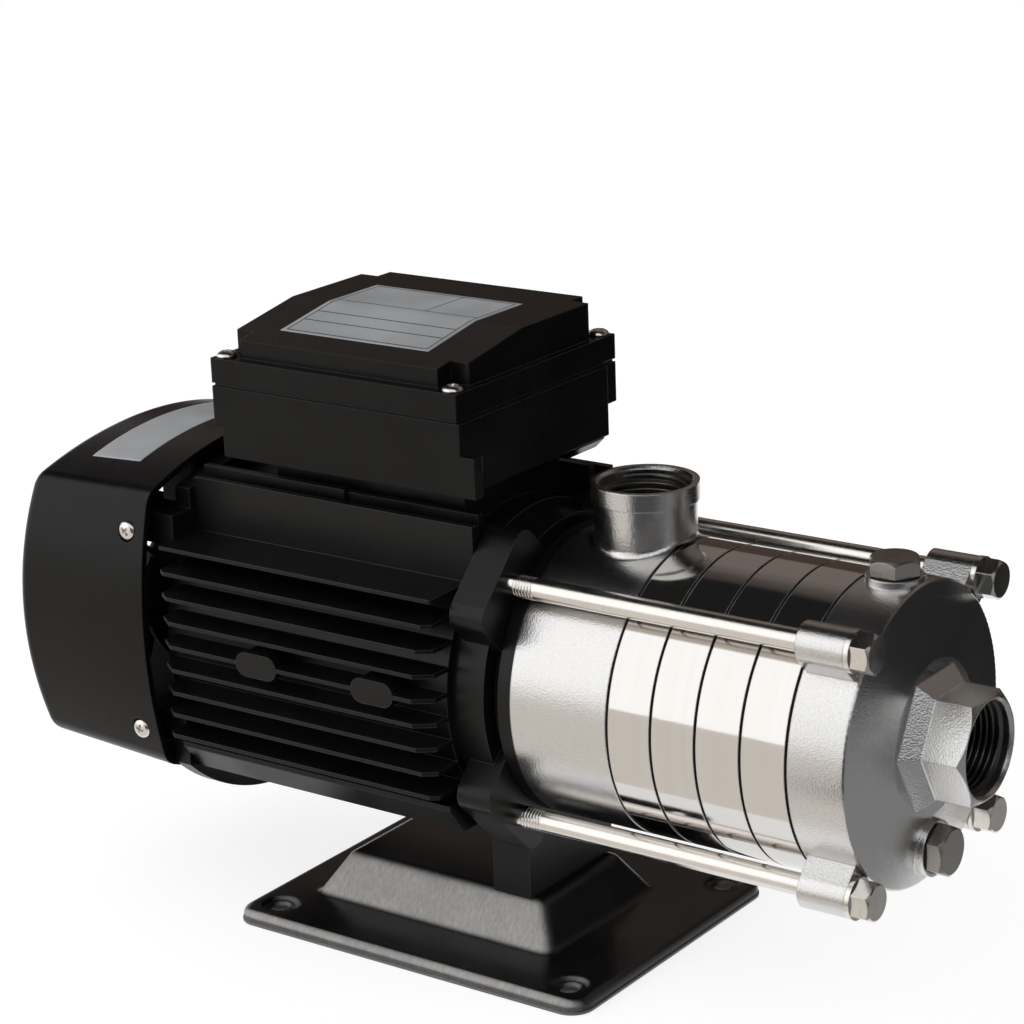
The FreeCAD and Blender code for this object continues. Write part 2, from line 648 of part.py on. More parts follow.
def primitive(kind, name, sizes, at, axis="z"):
    """A Part primitive with its sizes and place tied to rules."""
    thing = DOC.addObject(kind, name)
    thing.Placement = FreeCAD.Placement(V(), AXES[axis])
    for path, text in sizes.items():
        bind(thing, path, text)
    place(thing, *at)
    return thing


def rod(name, radius, length, at, axis="x"):
    """A plain cylinder."""
    return primitive("Part::Cylinder", name, {"Radius": radius, "Height": length}, at, axis)


def hexagon(name, flats, height, at, axis="x"):
    """A hexagonal prism with a given size across its flats."""
    return primitive("Part::Prism", name,
                     {"Circumradius": "(%s) / sqrt(3)" % flats, "Height": height}, at, axis)


def bevelled_head(name, flats, height, at, axis="x"):
    """A hexagon head with the usual bevel round its free end."""
    prism = hexagon(name + "_prism", flats, height, at, axis)
    end = "(%s) * head_end" % flats
    cone = primitive("Part::Cone", name + "_cone", {
        "Radius1": "%s + (%s) * head_taper" % (end, height), "Radius2": end, "Height": height}, at, axis)
    head = DOC.addObject("Part::MultiCommon", name)
    head.Shapes = [prism, cone]
    return head


def block(name, lengths, at):
    """A plain box from its lowest corner."""
    sizes = dict(zip(("Length", "Width", "Height"), lengths))
    return primitive("Part::Box", name, sizes, at)


def fused(name, parts):
    """One solid from overlapping parts."""
    thing = DOC.addObject("Part::MultiFuse", name)
    thing.Shapes = parts
    return thing


def minus(name, base, tool):
    """Takes a tool out of a base."""
    thing = DOC.addObject("Part::Cut", name)
    thing.Base = base
    thing.Tool = tool
    return thing


def group(name, parts):
    """Separate solids that share one sub-part."""
    thing = DOC.addObject("Part::Compound", name)
    thing.Links = parts
    return keep(name, thing)


def repeats(name, source, spots, turns=None):
    """Links that show the source again at other places."""
    links = []
    for number, spot in enumerate(spots):
        link = DOC.addObject("App::Link", "%s_%d" % (name, number + 1))
        link.LinkedObject = source
        link.LinkTransform = False
        rotation = FreeCAD.Rotation(*turns[number]) if turns else source.Placement.Rotation
        link.Placement = FreeCAD.Placement(V(), rotation)
        place(link, *spot)
        links.append(link)
    return group(name, links)


def four_corners(x, side, rise):
    """The places left and right, above and below the shaft axis."""
    return [(x, "%s(%s)" % (a, side), "shaft_height %s (%s)" % (b, rise))
            for a in ("-", "") for b in ("+", "-")]


# Base plate

def make_base_plate():
    """Pressed plate: a flange with a rolled edge and a hollow plateau with sloped sides."""
    body = new_body("base_plate", "0")

    def flange(inset):
        return rounded_outline("base_length / 2 - (%s)" % inset, "base_width / 2 - (%s)" % inset,
                               "base_corner - (%s)" % inset)

    def plateau(grow):
        return box_outline("plateau_middle - plateau_length / 2 - (%s)" % grow,
                           "plateau_middle + plateau_length / 2 + (%s)" % grow,
                           "-plateau_width / 2 - (%s)" % grow, "plateau_width / 2 + (%s)" % grow)

    low = value("base_rise")
    high = value("plateau_height")
    far = value("base_length / 2 - base_corner / 2")
    side = value("base_width / 2 - base_corner / 2")
    extrude(body, "XY_Plane", "0", "base_rise", [flange("base_step")])
    extrude(body, "XY_Plane", "0", "base_lip", [flange("0")])
    loft(body, "XY_Plane", [("base_rise", plateau("plateau_spread")),
                            ("plateau_height", plateau("0"))])
    round_edges(body, "plateau_round", lambda edge: edge.BoundBox.ZMax > high - 0.1)

    def at_rim(edge):
        box = edge.BoundBox
        outside = max(box.YMax, -box.YMin) > side or max(box.XMax, -box.XMin) > far
        return level(edge, low - 0.1, low + 0.1) and outside

    round_edges(body, "plateau_foot", lambda edge: level(edge, low - 0.1, low + 0.1)
                and not at_rim(edge))
    round_edges(body, "base_roll", at_rim)
    wall = "sheet_wall + base_step"
    extrude(body, "XY_Plane", "0", "base_rise - sheet_wall", [flange(wall)], cut=True)
    loft(body, "XY_Plane", [("base_rise - sheet_wall", plateau("plateau_spread - sheet_wall")),
                            ("plateau_height - sheet_wall", plateau("-sheet_wall"))], cut=True)

    def at_holes(radius):
        return [("%sbase_hole_long / 2" % a, "%sbase_hole_wide / 2" % b, radius)
                for a in ("-", "") for b in ("-", "")]
    extrude(body, "XY_Plane", "0", "base_rise - dimple_depth",
            circles=at_holes("dimple_radius + sheet_wall"))
    extrude(body, "XY_Plane", "base_rise - dimple_depth", "dimple_depth",
            circles=at_holes("dimple_radius"), cut=True)
    bolts = [("foot_middle", "%sfoot_bolt_offset" % a, "foot_bolt_radius + fit_gap")
             for a in ("-", "")]
    extrude(body, "XY_Plane", "0", "base_rise", circles=at_holes("base_hole_radius"), cut=True)
    extrude(body, "XY_Plane", "0", "plateau_height", circles=bolts, cut=True)


def make_foot_bolts():
    """Two bolts hold the bracket's foot block from under the plateau."""
    under = "plateau_height - sheet_wall"
    head = hexagon("foot_bolt_head", "rod_flats", "foot_bolt_head",
                   ("foot_middle", "-foot_bolt_offset", under + " - foot_bolt_head"), "z")
    shank = rod("foot_bolt_shank", "foot_bolt_radius", "foot_bolt_depth + sheet_wall",
                ("foot_middle", "-foot_bolt_offset", under), "z")
    bolt = fused("foot_bolt", [head, shank])
    second = DOC.addObject("App::Link", "foot_bolt_second")
    second.LinkedObject = bolt
    second.LinkTransform = False
    place(second, y="2 * foot_bolt_offset")
    group("foot_bolts", [bolt, second])


# Bracket and tie bolts

def make_bracket():
    """Cast bracket: bearing seat, round band, groove, pump flange, four lugs and a foot block."""
    body = new_body("bracket")
    revolve(body, [
        ("joint_x - spigot_length", "housing_bore - spigot_wall"),
        ("joint_x + bracket_web", "housing_bore - spigot_wall"),
        ("joint_x + bracket_web", "front_outer + bearing_hub"), ("joint_x", "front_outer + bearing_hub"),
        ("joint_x", "front_outer + fit_gap"), ("front_shoulder", "front_outer + fit_gap"),
        ("front_shoulder", "front_outer - bearing_stop"),
        ("groove_front - 1", "front_outer - bearing_stop"),
        ("groove_front - 1", "slinger_radius + slinger_room"),
        ("casing_rear", "slinger_radius + slinger_room"),
        ("casing_rear", "casing_radius"), ("groove_front", "casing_radius"),
        ("groove_front", "casing_radius - groove_depth"),
        ("band_front", "casing_radius - groove_depth"), ("band_front", "band_radius"),
        ("joint_x", "band_radius"), ("joint_x", "housing_bore - fit_gap"),
        ("joint_x - spigot_length", "housing_bore - fit_gap")])
    lug = extrude(body, "YZ_Plane", "lug_rear", "lug_length", [[
        ("-lug_half_width", "casing_radius - groove_depth - lug_sink"),
        ("lug_half_width", "casing_radius - groove_depth - lug_sink"),
        ("lug_half_width", "rod_circle + lug_margin - lug_round", "lug_round"),
        ("lug_half_width - lug_round", "rod_circle + lug_margin"),
        ("lug_round - lug_half_width", "rod_circle + lug_margin", "lug_round"),
        ("-lug_half_width", "rod_circle + lug_margin - lug_round")]], turn=45)
    pattern(body, lug, 4)
    floor = "plateau_height - shaft_height"
    extrude(body, "YZ_Plane", "foot_rear", "foot_length", [box_outline(
        "-foot_half_width", "foot_half_width", floor, "-housing_radius - 1")])
    extrude(body, "YZ_Plane", "joint_x", "foot_rear + foot_length - joint_x", [box_outline(
        "-foot_half_width", "foot_half_width", "-housing_radius - 1.5", "-band_radius * 0.85")])
    side = "rod_side"
    holes = [("%s%s" % (a, side), "%s%s" % (b, side), "rod_radius + fit_gap")
             for a in ("-", "") for b in ("-", "")]
    extrude(body, "YZ_Plane", "lug_front - rod_engage - 1", "rod_engage + 1", circles=holes,
            cut=True)
    studs = [("%sstud_side" % a, "%sstud_rise" % b, "stud_radius + fit_gap")
             for a in ("-", "") for b in ("-", "")]
    extrude(body, "YZ_Plane", "lug_rear", "stud_engage + 1", circles=studs, cut=True)
    bolts = [("foot_middle", "%sfoot_bolt_offset" % a, "foot_bolt_radius + fit_gap")
             for a in ("-", "")]
    extrude(body, "XY_Plane", floor, "foot_bolt_depth + 1", circles=bolts, cut=True)


def make_tie_bolts():
    """Four long bolts clamp the stages between the bracket's lugs and the suction casing."""
    shank = rod("tie_shank", "rod_radius", "head_rear - lug_front + rod_engage",
                ("lug_front - rod_engage", "0", "0"))
    head = bevelled_head("tie_head", "rod_flats", "rod_head", ("head_rear", "0", "0"))
    bolt = fused("tie_bolt", [shank, head])
    repeats("tie_bolts", bolt, four_corners("0", "rod_side", "rod_side"))
    disc = rod("tie_disc", "washer_radius", "washer_wall", ("boss_front", "0", "0"))
    hole = rod("tie_disc_hole", "rod_radius + fit_gap", "washer_wall", ("boss_front", "0", "0"))
    washer = minus("tie_washer", disc, hole)
    repeats("tie_bolt_washers", washer, four_corners("0", "rod_side", "rod_side"))


# Pump casings

def make_discharge_casing():
    """Cast chamber with the threaded neck on top, cut off flush with the first stage ring."""
    body = new_body("discharge_casing")
    revolve(body, tube_outline("casing_rear", "ring_start + port_radius", "casing_bore",
                               "casing_radius"))
    extrude(body, "XY_Plane", "casing_bore / 2", "port_rise - casing_bore / 2",
            circles=[("port_x", "0", "neck_radius")])
    revolve(body, tube_outline("casing_rear", "ring_start + port_radius", "0", "casing_bore"),
            cut=True)
    low = value("sqrt(casing_radius ^ 2 - neck_radius ^ 2)")
    top = value("casing_radius")
    round_edges(body, "neck_fillet", lambda edge: level(edge, low - 0.1, top + 0.1)
                and edge.BoundBox.XLength > value("neck_radius / 2"))
    extrude(body, "XY_Plane", "port_rise - collar_length", "collar_length",
            circles=[("port_x", "0", "collar_radius")])
    extrude(body, "XY_Plane", "-casing_radius - 1", "2 * casing_radius + 1.8", [box_outline(
        "ring_start", "ring_start + 2 * port_radius", "-casing_radius - 1", "casing_radius + 1")],
        cut=True)
    extrude(body, "XY_Plane", "0", "port_rise", circles=[("port_x", "0", "port_radius - port_step")],
            cut=True)
    extrude(body, "XY_Plane", "port_rise - port_thread", "port_thread",
            circles=[("port_x", "0", "port_radius")], cut=True)
    rim = value("port_rise")
    bevel(body, "port_chamfer", lambda edge: level(edge, rim - 0.1, rim + 0.1)
          and edge.BoundBox.XLength < value("2 * port_radius + 0.5"))


def make_stage_ring(number):
    """Polished ring of one stage, stepped at its start so that a dark seam shows."""
    start = "ring_start + %d * stage_pitch" % (number - 1)
    end = "%s + stage_pitch" % start
    turned("stage_ring_%d" % number, [
        (start, "ring_bore"), (end, "ring_bore"), (end, "casing_radius"),
        (start + " + seam_width", "casing_radius"),
        (start + " + seam_width", "casing_radius - seam_depth"),
        (start, "casing_radius - seam_depth")])


def make_casing_seals():
    """Flat seals at the bottom of the seams, one in each joint between the rings."""
    seals = []
    floor = "casing_radius - seam_depth + seal_gap"
    width = "seam_width - 2 * seal_gap"
    for number in range(STAGES + 1):
        at = ("ring_start + %d * stage_pitch + seal_gap" % number, "0", "shaft_height")
        outer = rod("joint_seal_outer", floor + " + seal_wall", width, at)
        inner = rod("joint_seal_inner", floor, width, at)
        seals.append(minus("joint_seal", outer, inner))
    group("casing_seals", seals)


def hexagon_outline(circle):
    """A hexagon whose corners point to the sides."""
    corners = []
    for number in range(6):
        angle = 60 * number
        corners.append(("%s * cos(%d)" % (circle, angle), "%s * sin(%d)" % (circle, angle)))
    return corners


def make_suction_casing():
    """Cast end casing: domed face, faceted port foot, hexagonal port, four bosses, plug seats."""
    body = new_body("suction_casing")
    revolve(body, [
        ("suction_rear", "ring_bore"), ("suction_rear + plate_wall", "ring_bore"),
        ("suction_rear + plate_wall", "casing_bore"), ("suction_rim - casing_wall", "casing_bore"),
        ("suction_face - casing_wall", "port_radius - port_step"),
        ("suction_face", "port_radius - port_step"), ("suction_face", "flare_circle + flare_rim"),
        ("suction_rim", "casing_radius - suction_round", "suction_round"),
        ("suction_rim - suction_round", "casing_radius"),
        ("suction_rear + seam_width", "casing_radius"),
        ("suction_rear + seam_width", "casing_radius - seam_depth"),
        ("suction_rear", "casing_radius - seam_depth")])
    ear = extrude(body, "YZ_Plane", "boss_rear", "boss_length", [[
        ("-boss_radius", "casing_radius - casing_wall + 1"),
        ("boss_radius", "casing_radius - casing_wall + 1"),
        ("boss_radius", "rod_circle", "boss_radius + 0.001"), ("-boss_radius", "rod_circle")]],
        turn=45)
    pattern(body, ear, 4)
    foot = "(flare_circle + 2)"
    loft(body, "YZ_Plane", [("suction_face - casing_wall / 2", hexagon_outline(foot)),
                            ("hex_start", hexagon_outline("hex_circle"))])
    extrude(body, "YZ_Plane", "hex_start", "hex_length", [hexagon_outline("hex_circle")])
    extrude(body, "XY_Plane", "casing_bore + 1", "seat_top - casing_bore - 1",
            circles=[("priming_x", "0", "seat_radius")])
    root = "suction_rim - casing_wall + 1"
    extrude(body, "YZ_Plane", root, "seat_front - (%s)" % root,
            circles=[("0", "-drain_drop", "seat_radius")])
    extrude(body, "YZ_Plane", "suction_rear", "port_end - suction_rear",
            circles=[("0", "0", "port_radius - port_step")], cut=True)
    extrude(body, "YZ_Plane", "port_end - port_thread", "port_thread",
            circles=[("0", "0", "port_radius")], cut=True)
    rim = value("port_end")
    bevel(body, "port_chamfer", lambda edge: level(edge, rim - 0.1, rim + 0.1, "x")
          and edge.Curve.TypeId == "Part::GeomCircle")
    holes = [("%srod_side" % a, "%srod_side" % b, "rod_radius + fit_gap")
             for a in ("-", "") for b in ("-", "")]
    extrude(body, "YZ_Plane", "boss_rear", "boss_length", circles=holes, cut=True)
    extrude(body, "XY_Plane", "0", "seat_top", circles=[("priming_x", "0", "plug_radius + fit_gap")],
            cut=True)
    extrude(body, "YZ_Plane", "suction_rear + 4", "seat_front - suction_rear - 4",
            circles=[("0", "-drain_drop", "plug_radius + fit_gap")], cut=True)
    revolve(body, [("port_end - hex_bevel", "hex_circle + 0.5"), ("port_end", "hex_circle * hex_end"),
                   ("port_end", "hex_circle + 0.5")], cut=True)


def make_plugs():
    """Priming plug on top and drain plug in the domed end, each on its seal washer."""
    for name, axis, seat, x, z in (
            ("priming_plug", "z", "seat_top", "priming_x", "shaft_height"),
            ("drain_plug", "x", "seat_front", "0", "shaft_height - drain_drop")):
        def at(shift):
            rise = "%s + (%s)" % (seat, shift)
            return (x, "0", "%s + %s" % (z, rise)) if axis == "z" else (rise, "0", z)
        shank = rod(name + "_shank", "plug_radius", "plug_engage + seal_washer_wall",
                    at("-plug_engage"), axis)
        head = bevelled_head(name + "_head", "plug_flats", "plug_head", at("seal_washer_wall"), axis)
        keep(name, fused(name, [shank, head]))
        disc = rod(name + "_disc", "seal_washer_radius", "seal_washer_wall", at("0"), axis)
        hole = rod(name + "_hole", "plug_radius + fit_gap", "seal_washer_wall", at("0"), axis)
        keep(name + "_washer", minus(name + "_washer", disc, hole))


# Wet end

def vane_outline(inner, outer, lead, wall):
    """A curved vane from an inner to an outer radius, swept back by an angle."""
    tip_y = "-(%s) * sin(%d)" % (outer, lead)
    tip_z = "(%s) * cos(%d)" % (outer, lead)
    return [("0", inner), (wall, inner, "-(%s) * 0.9" % outer),
            ("%s + %s" % (tip_y, wall), tip_z), (tip_y, tip_z, "(%s) * 0.9" % outer)]


def make_impeller(number):
    """Closed impeller: hub, two shrouds, the eye and six swept blades between the shrouds."""
    back = "ring_start + %d * stage_pitch + plate_wall + return_width + impeller_gap" % (number - 1)
    front = "%s + impeller_width" % back
    body = new_body("impeller_%d" % number)
    revolve(body, [
        (back, "wet_shaft_radius + fit_gap"), (front, "wet_shaft_radius + fit_gap"),
        (front, "hub_radius"), ("%s + plate_wall" % back, "hub_radius + 1"),
        ("%s + plate_wall" % back, "impeller_radius"), (back, "impeller_radius")])
    blade = extrude(body, "YZ_Plane", "%s + plate_wall - 0.1" % back,
                    "impeller_width - 2 * plate_wall + 0.2",
                    [vane_outline("eye_radius + vane_wall / 2", "impeller_radius - 1", 35, "vane_wall")])
    pattern(body, blade, VANES)
    revolve(body, [
        ("%s - plate_wall" % front, "eye_radius"), ("%s + plate_wall" % front, "eye_radius"),
        ("%s + plate_wall" % front, "eye_radius + vane_wall"), (front, "eye_radius + vane_wall"),
        (front, "impeller_radius"), ("%s - plate_wall" % front, "impeller_radius")])


def make_diffuser(number):
    """Diffuser: the wall that holds the last impeller's eye, return vanes and a back plate."""
    start = "ring_start + %d * stage_pitch" % (number - 1)
    body = new_body("diffuser_%d" % number)
    eye = "hub_radius + 4" if number == 1 else "eye_hole"
    revolve(body, tube_outline(start, "%s + plate_wall" % start, eye, "ring_bore - fit_gap"))
    vane = extrude(body, "YZ_Plane", "%s + plate_wall - 0.1" % start, "return_width - plate_wall + 0.2",
                   [vane_outline("eye_hole + 1", "impeller_radius + 2", 40, "vane_wall")])
    pattern(body, vane, VANES)
    revolve(body, tube_outline("%s + return_width" % start, "%s + return_width + plate_wall" % start,
                               "hub_radius + running_gap", "impeller_radius + 3"))


def make_inlet_plate():
    """The wall in the suction casing that holds the first impeller's eye."""
    turned("inlet_plate", tube_outline("suction_rear", "suction_rear + plate_wall",
                                       "eye_hole", "ring_bore - fit_gap"))


def make_shaft_sleeves():
    """The collar behind the seal and the sleeves that space the impellers on the shaft."""
    collar = rod("collar_outer", "seal_head_radius", "collar_wide", ("seal_stop", "0", "shaft_height"))
    bore = rod("collar_inner", "wet_shaft_radius + fit_gap", "collar_wide",
               ("seal_stop", "0", "shaft_height"))
    parts = [minus("collar", collar, bore)]
    lead = "plate_wall + return_width + impeller_gap"
    for number in range(STAGES):
        end = "ring_start + %d * stage_pitch + %s" % (number, lead)
        start = "seal_stop + collar_wide" if number == 0 else "(%s) - stage_pitch + impeller_width" % end
        length = "(%s) - (%s)" % (end, start)
        outer = rod("sleeve_outer", "hub_radius", length, (start, "0", "shaft_height"))
        inner = rod("sleeve_inner", "wet_shaft_radius + fit_gap", length, (start, "0", "shaft_height"))
        parts.append(minus("sleeve", outer, inner))
    group("shaft_sleeves", parts)


def make_impeller_nut():
    """Nut and washer at the pump end of the shaft."""
    start = "ring_start + %d * stage_pitch + plate_wall + return_width + impeller_gap" \
            " + impeller_width" % (STAGES - 1)
    washer = rod("nut_washer", "hub_radius", "nut_disc", (start, "0", "shaft_height"))
    nut = hexagon("nut_hex", "2 * hub_radius - 1", "nut_height",
                  (start + " + nut_disc", "0", "shaft_height"))
    hole = rod("nut_hole", "wet_shaft_radius + fit_gap", "nut_disc + nut_height",
               (start, "0", "shaft_height"))
    keep("impeller_nut", minus("impeller_nut", fused("nut_blank", [washer, nut]), hole))


def make_seal():
    """Seal plate, stationary seat, rotating head with its spring, and the water slinger."""
    turned("seal_plate", [
        ("casing_rear", "seal_shaft_radius + seal_hole_gap"),
        ("seat_rear", "seal_shaft_radius + seal_hole_gap"),
        ("seat_rear", "seal_seat_radius + fit_gap"), ("seal_face - 1", "seal_seat_radius + fit_gap"),
        ("seal_face - 1", "seal_seat_radius + seal_cup_wall"),
        ("seal_plate_front", "seal_seat_radius + seal_cup_wall"),
        ("seal_plate_front", "casing_bore - fit_gap"), ("casing_rear", "casing_bore - fit_gap")])
    turned("seal_seat", tube_outline("seat_rear", "seal_face", "seal_shaft_radius + seal_seat_gap",
                                     "seal_seat_radius"))
    turned("seal_head", [
        ("seal_face + 0.02", "seal_shaft_radius + fit_gap"),
        ("seal_stop", "seal_shaft_radius + fit_gap"),
        ("seal_stop", "seal_shaft_radius + seal_core_wall"),
        ("seal_face + seal_ring_length", "seal_shaft_radius + seal_core_wall"),
        ("seal_face + seal_ring_length", "seal_head_radius"), ("seal_face + 0.02", "seal_head_radius")])
    turned("water_slinger", tube_outline("groove_front", "groove_front + slinger_wall",
                                         "seal_shaft_radius + fit_gap", "slinger_radius"))
    spring = DOC.addObject("Part::Feature", "seal_spring")
    keep("seal_spring", spring)
    wire = value("seal_wire")
    radius = value("seal_shaft_radius + seal_core_wall + seal_wire") + 0.4
    start = value("seal_face + seal_ring_length") + wire + 0.05
    length = value("seal_stop") - wire - 0.05 - start
    helix = Part.makeHelix(length / value("seal_turns"), length, radius)
    corners = [V(radius - wire, 0, -wire), V(radius + wire, 0, -wire),
               V(radius + wire, 0, wire), V(radius - wire, 0, wire)]
    section = Part.makePolygon(corners + corners[:1])
    spring.Shape = Part.Wire(helix).makePipeShell([section], True, True)
    spring.Placement = FreeCAD.Placement(V(start, 0, value("shaft_height")), AXES["x"])


# Motor

def make_motor_housing():
    """Die-cast barrel with nine tapered fins on each side, plates on top and corner blocks below."""
    body = new_body("motor_housing")
    extrude(body, "YZ_Plane", "housing_rear", "housing_length",
            circles=[("0", "0", "housing_radius")])
    fins = []
    for number in range(FINS):
        rise = "(fin_first - %d * fin_pitch)" % number
        tip = "(envelope_half - %s ^ 2 / (2 * envelope_arc))" % rise
        fins.append([
            ("-%s" % tip, "%s - fin_tip / 2" % rise), ("0", "%s - fin_root / 2" % rise),
            (tip, "%s - fin_tip / 2" % rise), (tip, "%s + fin_tip / 2" % rise),
            ("0", "%s + fin_root / 2" % rise), ("-%s" % tip, "%s + fin_tip / 2" % rise)])
    extrude(body, "YZ_Plane", "housing_rear", "housing_length", fins)
    for side in ("-", ""):
        def strip(middle, low, high):
            edges = ("%s(%s) - rib_wall / 2" % (side, middle), "%s(%s) + rib_wall / 2" % (side, middle))
            return box_outline(edges[0], edges[1], low, high)
        extrude(body, "YZ_Plane", "housing_rear", "housing_length + lug_setback - 0.5",
                [strip("plate_place", "plate_foot", "plate_top")])
        extrude(body, "YZ_Plane", "housing_rear", "housing_length", [strip("ridge_place - 1.5",
                "fin_first", "ridge_top - 1")])
        extrude(body, "YZ_Plane", "housing_rear", "housing_length - ridge_step",
                [strip("ridge_place", "fin_first", "ridge_top")])
        extrude(body, "YZ_Plane", "housing_rear", "housing_length + lug_setback",
                circles=[("%sstud_side" % side, "%sstud_rise" % rise, "stud_boss")
                         for rise in ("", "-")])
    extrude(body, "YZ_Plane", "housing_rear", "housing_length", [[
        ("-keel_foot", "-keel_low"), ("keel_foot", "-keel_low"), ("keel_half", "-keel_high - 2"),
        ("keel_half", "-keel_high"), ("-keel_half", "-keel_high"), ("-keel_half", "-keel_high - 2")]])
    foot = "box_rear + pedestal_rear"
    extrude(body, "YZ_Plane", foot, "box_front - pedestal_front - (%s)" % foot, [box_outline(
        "-pedestal_half", "pedestal_half", "housing_bore", "box_floor")])
    rise = "fin_first - 4 * fin_pitch"
    for start in ("housing_radius - pad_root", "-envelope_half"):
        for number in range(2):
            middle = "joint_x - pad_place - %d * pad_pitch" % number
            left = middle + " - pad_length / 2 + pad_height / 2"
            right = middle + " + pad_length / 2 - pad_height / 2"
            low = rise + " - pad_height / 2"
            high = rise + " + pad_height / 2"
            bulge = "pad_height / 2 + 0.001"
            extrude(body, "XZ_Plane", start, "envelope_half - housing_radius + pad_root", [[
                (left, low), (right, low, bulge), (right, high), (left, high, bulge)]])
    noses = []
    for side in ("-", ""):
        for end, inwards in (("housing_rear", "+"), ("joint_x", "-")):
            noses.append([(end, "%s(envelope_half - fin_nose_drop)" % side),
                          ("%s %s fin_nose" % (end, inwards), "%senvelope_half" % side),
                          (end, "%senvelope_half" % side)])
    extrude(body, "XY_Plane", "-envelope_half", "2 * envelope_half", noses, cut=True)
    extrude(body, "YZ_Plane", "housing_rear", "housing_length", circles=[("0", "0", "housing_bore")],
            cut=True)
    studs = [("%sstud_side" % a, "%sstud_rise" % b, "stud_radius + screw_clear")
             for a in ("-", "") for b in ("-", "")]
    extrude(body, "YZ_Plane", "housing_rear", "housing_length + lug_setback", circles=studs, cut=True)
    extrude(body, "XY_Plane", "0", "box_floor", circles=[("box_middle", "0", "duct_radius")], cut=True)


def make_rear_end_shield():
    """Shield behind the housing: spigot, bearing seat, lower skirt and lugs for the cowl screws."""
    body = new_body("rear_end_shield")
    revolve(body, [
        ("rear_seat - wave_wall - rear_cap_wall", "rear_bore + 1"),
        ("rear_seat - wave_wall", "rear_bore + 1"),
        ("rear_seat - wave_wall", "rear_outer + fit_gap"), ("rear_shoulder", "rear_outer + fit_gap"),
        ("rear_shoulder", "rear_outer + rear_hub_wall"), ("housing_rear", "rear_outer + rear_hub_wall"),
        ("housing_rear", "housing_bore - spigot_wall"),
        ("housing_rear + spigot_length", "housing_bore - spigot_wall"),
        ("housing_rear + spigot_length", "housing_bore - fit_gap"),
        ("housing_rear", "housing_bore - fit_gap"), ("housing_rear", "housing_radius"),
        ("housing_rear - shield_web", "housing_radius"),
        ("housing_rear - shield_web", "rear_outer + rear_hub_wall"),
        ("rear_seat - wave_wall - rear_cap_wall", "rear_outer + rear_hub_wall")])
    extrude(body, "YZ_Plane", "cowl_front", "shield_flange", [[
        ("-skirt_half", "-skirt_drop", "skirt_arc"), ("skirt_half", "-skirt_drop"),
        ("skirt_half", "skirt_height - skirt_drop"), ("-skirt_half", "skirt_height - skirt_drop")]])
    extrude(body, "YZ_Plane", "cowl_front", "shield_flange", [[
        ("-crest_half", "crest_low"), ("crest_half", "crest_low"),
        ("crest_half", "crest_rise", "crest_arc"), ("-crest_half", "crest_rise")]])
    reach = "cowl_half - cowl_wall - cowl_draft - cowl_lug_gap"
    lift = "cowl_lug_height / 2"
    for side in ("-", ""):
        for middle in ("cowl_screw_high", "-cowl_screw_low"):
            edges = ["%s(%s)" % (side, far) for far in (reach, "housing_radius * 0.65")]
            extrude(body, "YZ_Plane", "cowl_front - cowl_lug_length",
                    "cowl_lug_length + shield_flange", [box_outline(
                        edges[0], edges[1], "%s - %s" % (middle, lift), "%s + %s" % (middle, lift))])
        extrude(body, "YZ_Plane", "stud_rear", "shield_web",
                circles=[("%sstud_side" % side, "%sstud_rise" % rise, "stud_boss + 0.5")
                         for rise in ("", "-")])
    studs = [("%sstud_side" % a, "%sstud_rise" % b, "stud_radius + screw_clear")
             for a in ("-", "") for b in ("-", "")]
    extrude(body, "YZ_Plane", "stud_rear", "shield_web", circles=studs, cut=True)
    spots = stud_heads()
    extrude(body, "YZ_Plane", "cowl_front - cowl_lug_length",
            "stud_rear - cowl_front + cowl_lug_length", circles=spots, cut=True)
    screws = [("cowl_screw_x", rise, "cowl_screw_radius + fit_gap")
              for rise in ("cowl_screw_high", "-cowl_screw_low")]
    extrude(body, "XZ_Plane", "housing_radius * 0.8", "housing_radius", circles=screws, cut=True)
    extrude(body, "XZ_Plane", "-housing_radius * 1.8", "housing_radius", circles=screws, cut=True)


def stud_heads():
    """Free space round the heads of the studs."""
    return [("%sstud_side" % a, "%sstud_rise" % b, "stud_boss + stud_room")
            for a in ("-", "") for b in ("-", "")]


def make_motor_studs():
    """Four studs clamp the shield, the housing and the bracket together."""
    length = "lug_rear + stud_engage - stud_rear"
    shank = rod("stud_shank", "stud_radius", length, ("stud_rear", "0", "0"))
    head = hexagon("stud_cap", "stud_flats", "stud_head", ("stud_rear - stud_head", "0", "0"))
    stud = fused("stud", [shank, head])
    repeats("motor_studs", stud, four_corners("0", "stud_side", "stud_rise"))


def cowl_outline(inset):
    """The rounded square of the cowl, drawn smaller by an inset."""
    half = "cowl_half - (%s)" % inset
    low = "-cowl_bottom + (%s)" % inset
    high = "cowl_top - (%s)" % inset
    return [("-(%s)" % half, low, "cowl_bottom_arc"), (half, low, "cowl_side_arc"),
            (half, high, "cowl_top_arc"), ("-(%s)" % half, high, "cowl_side_arc")]


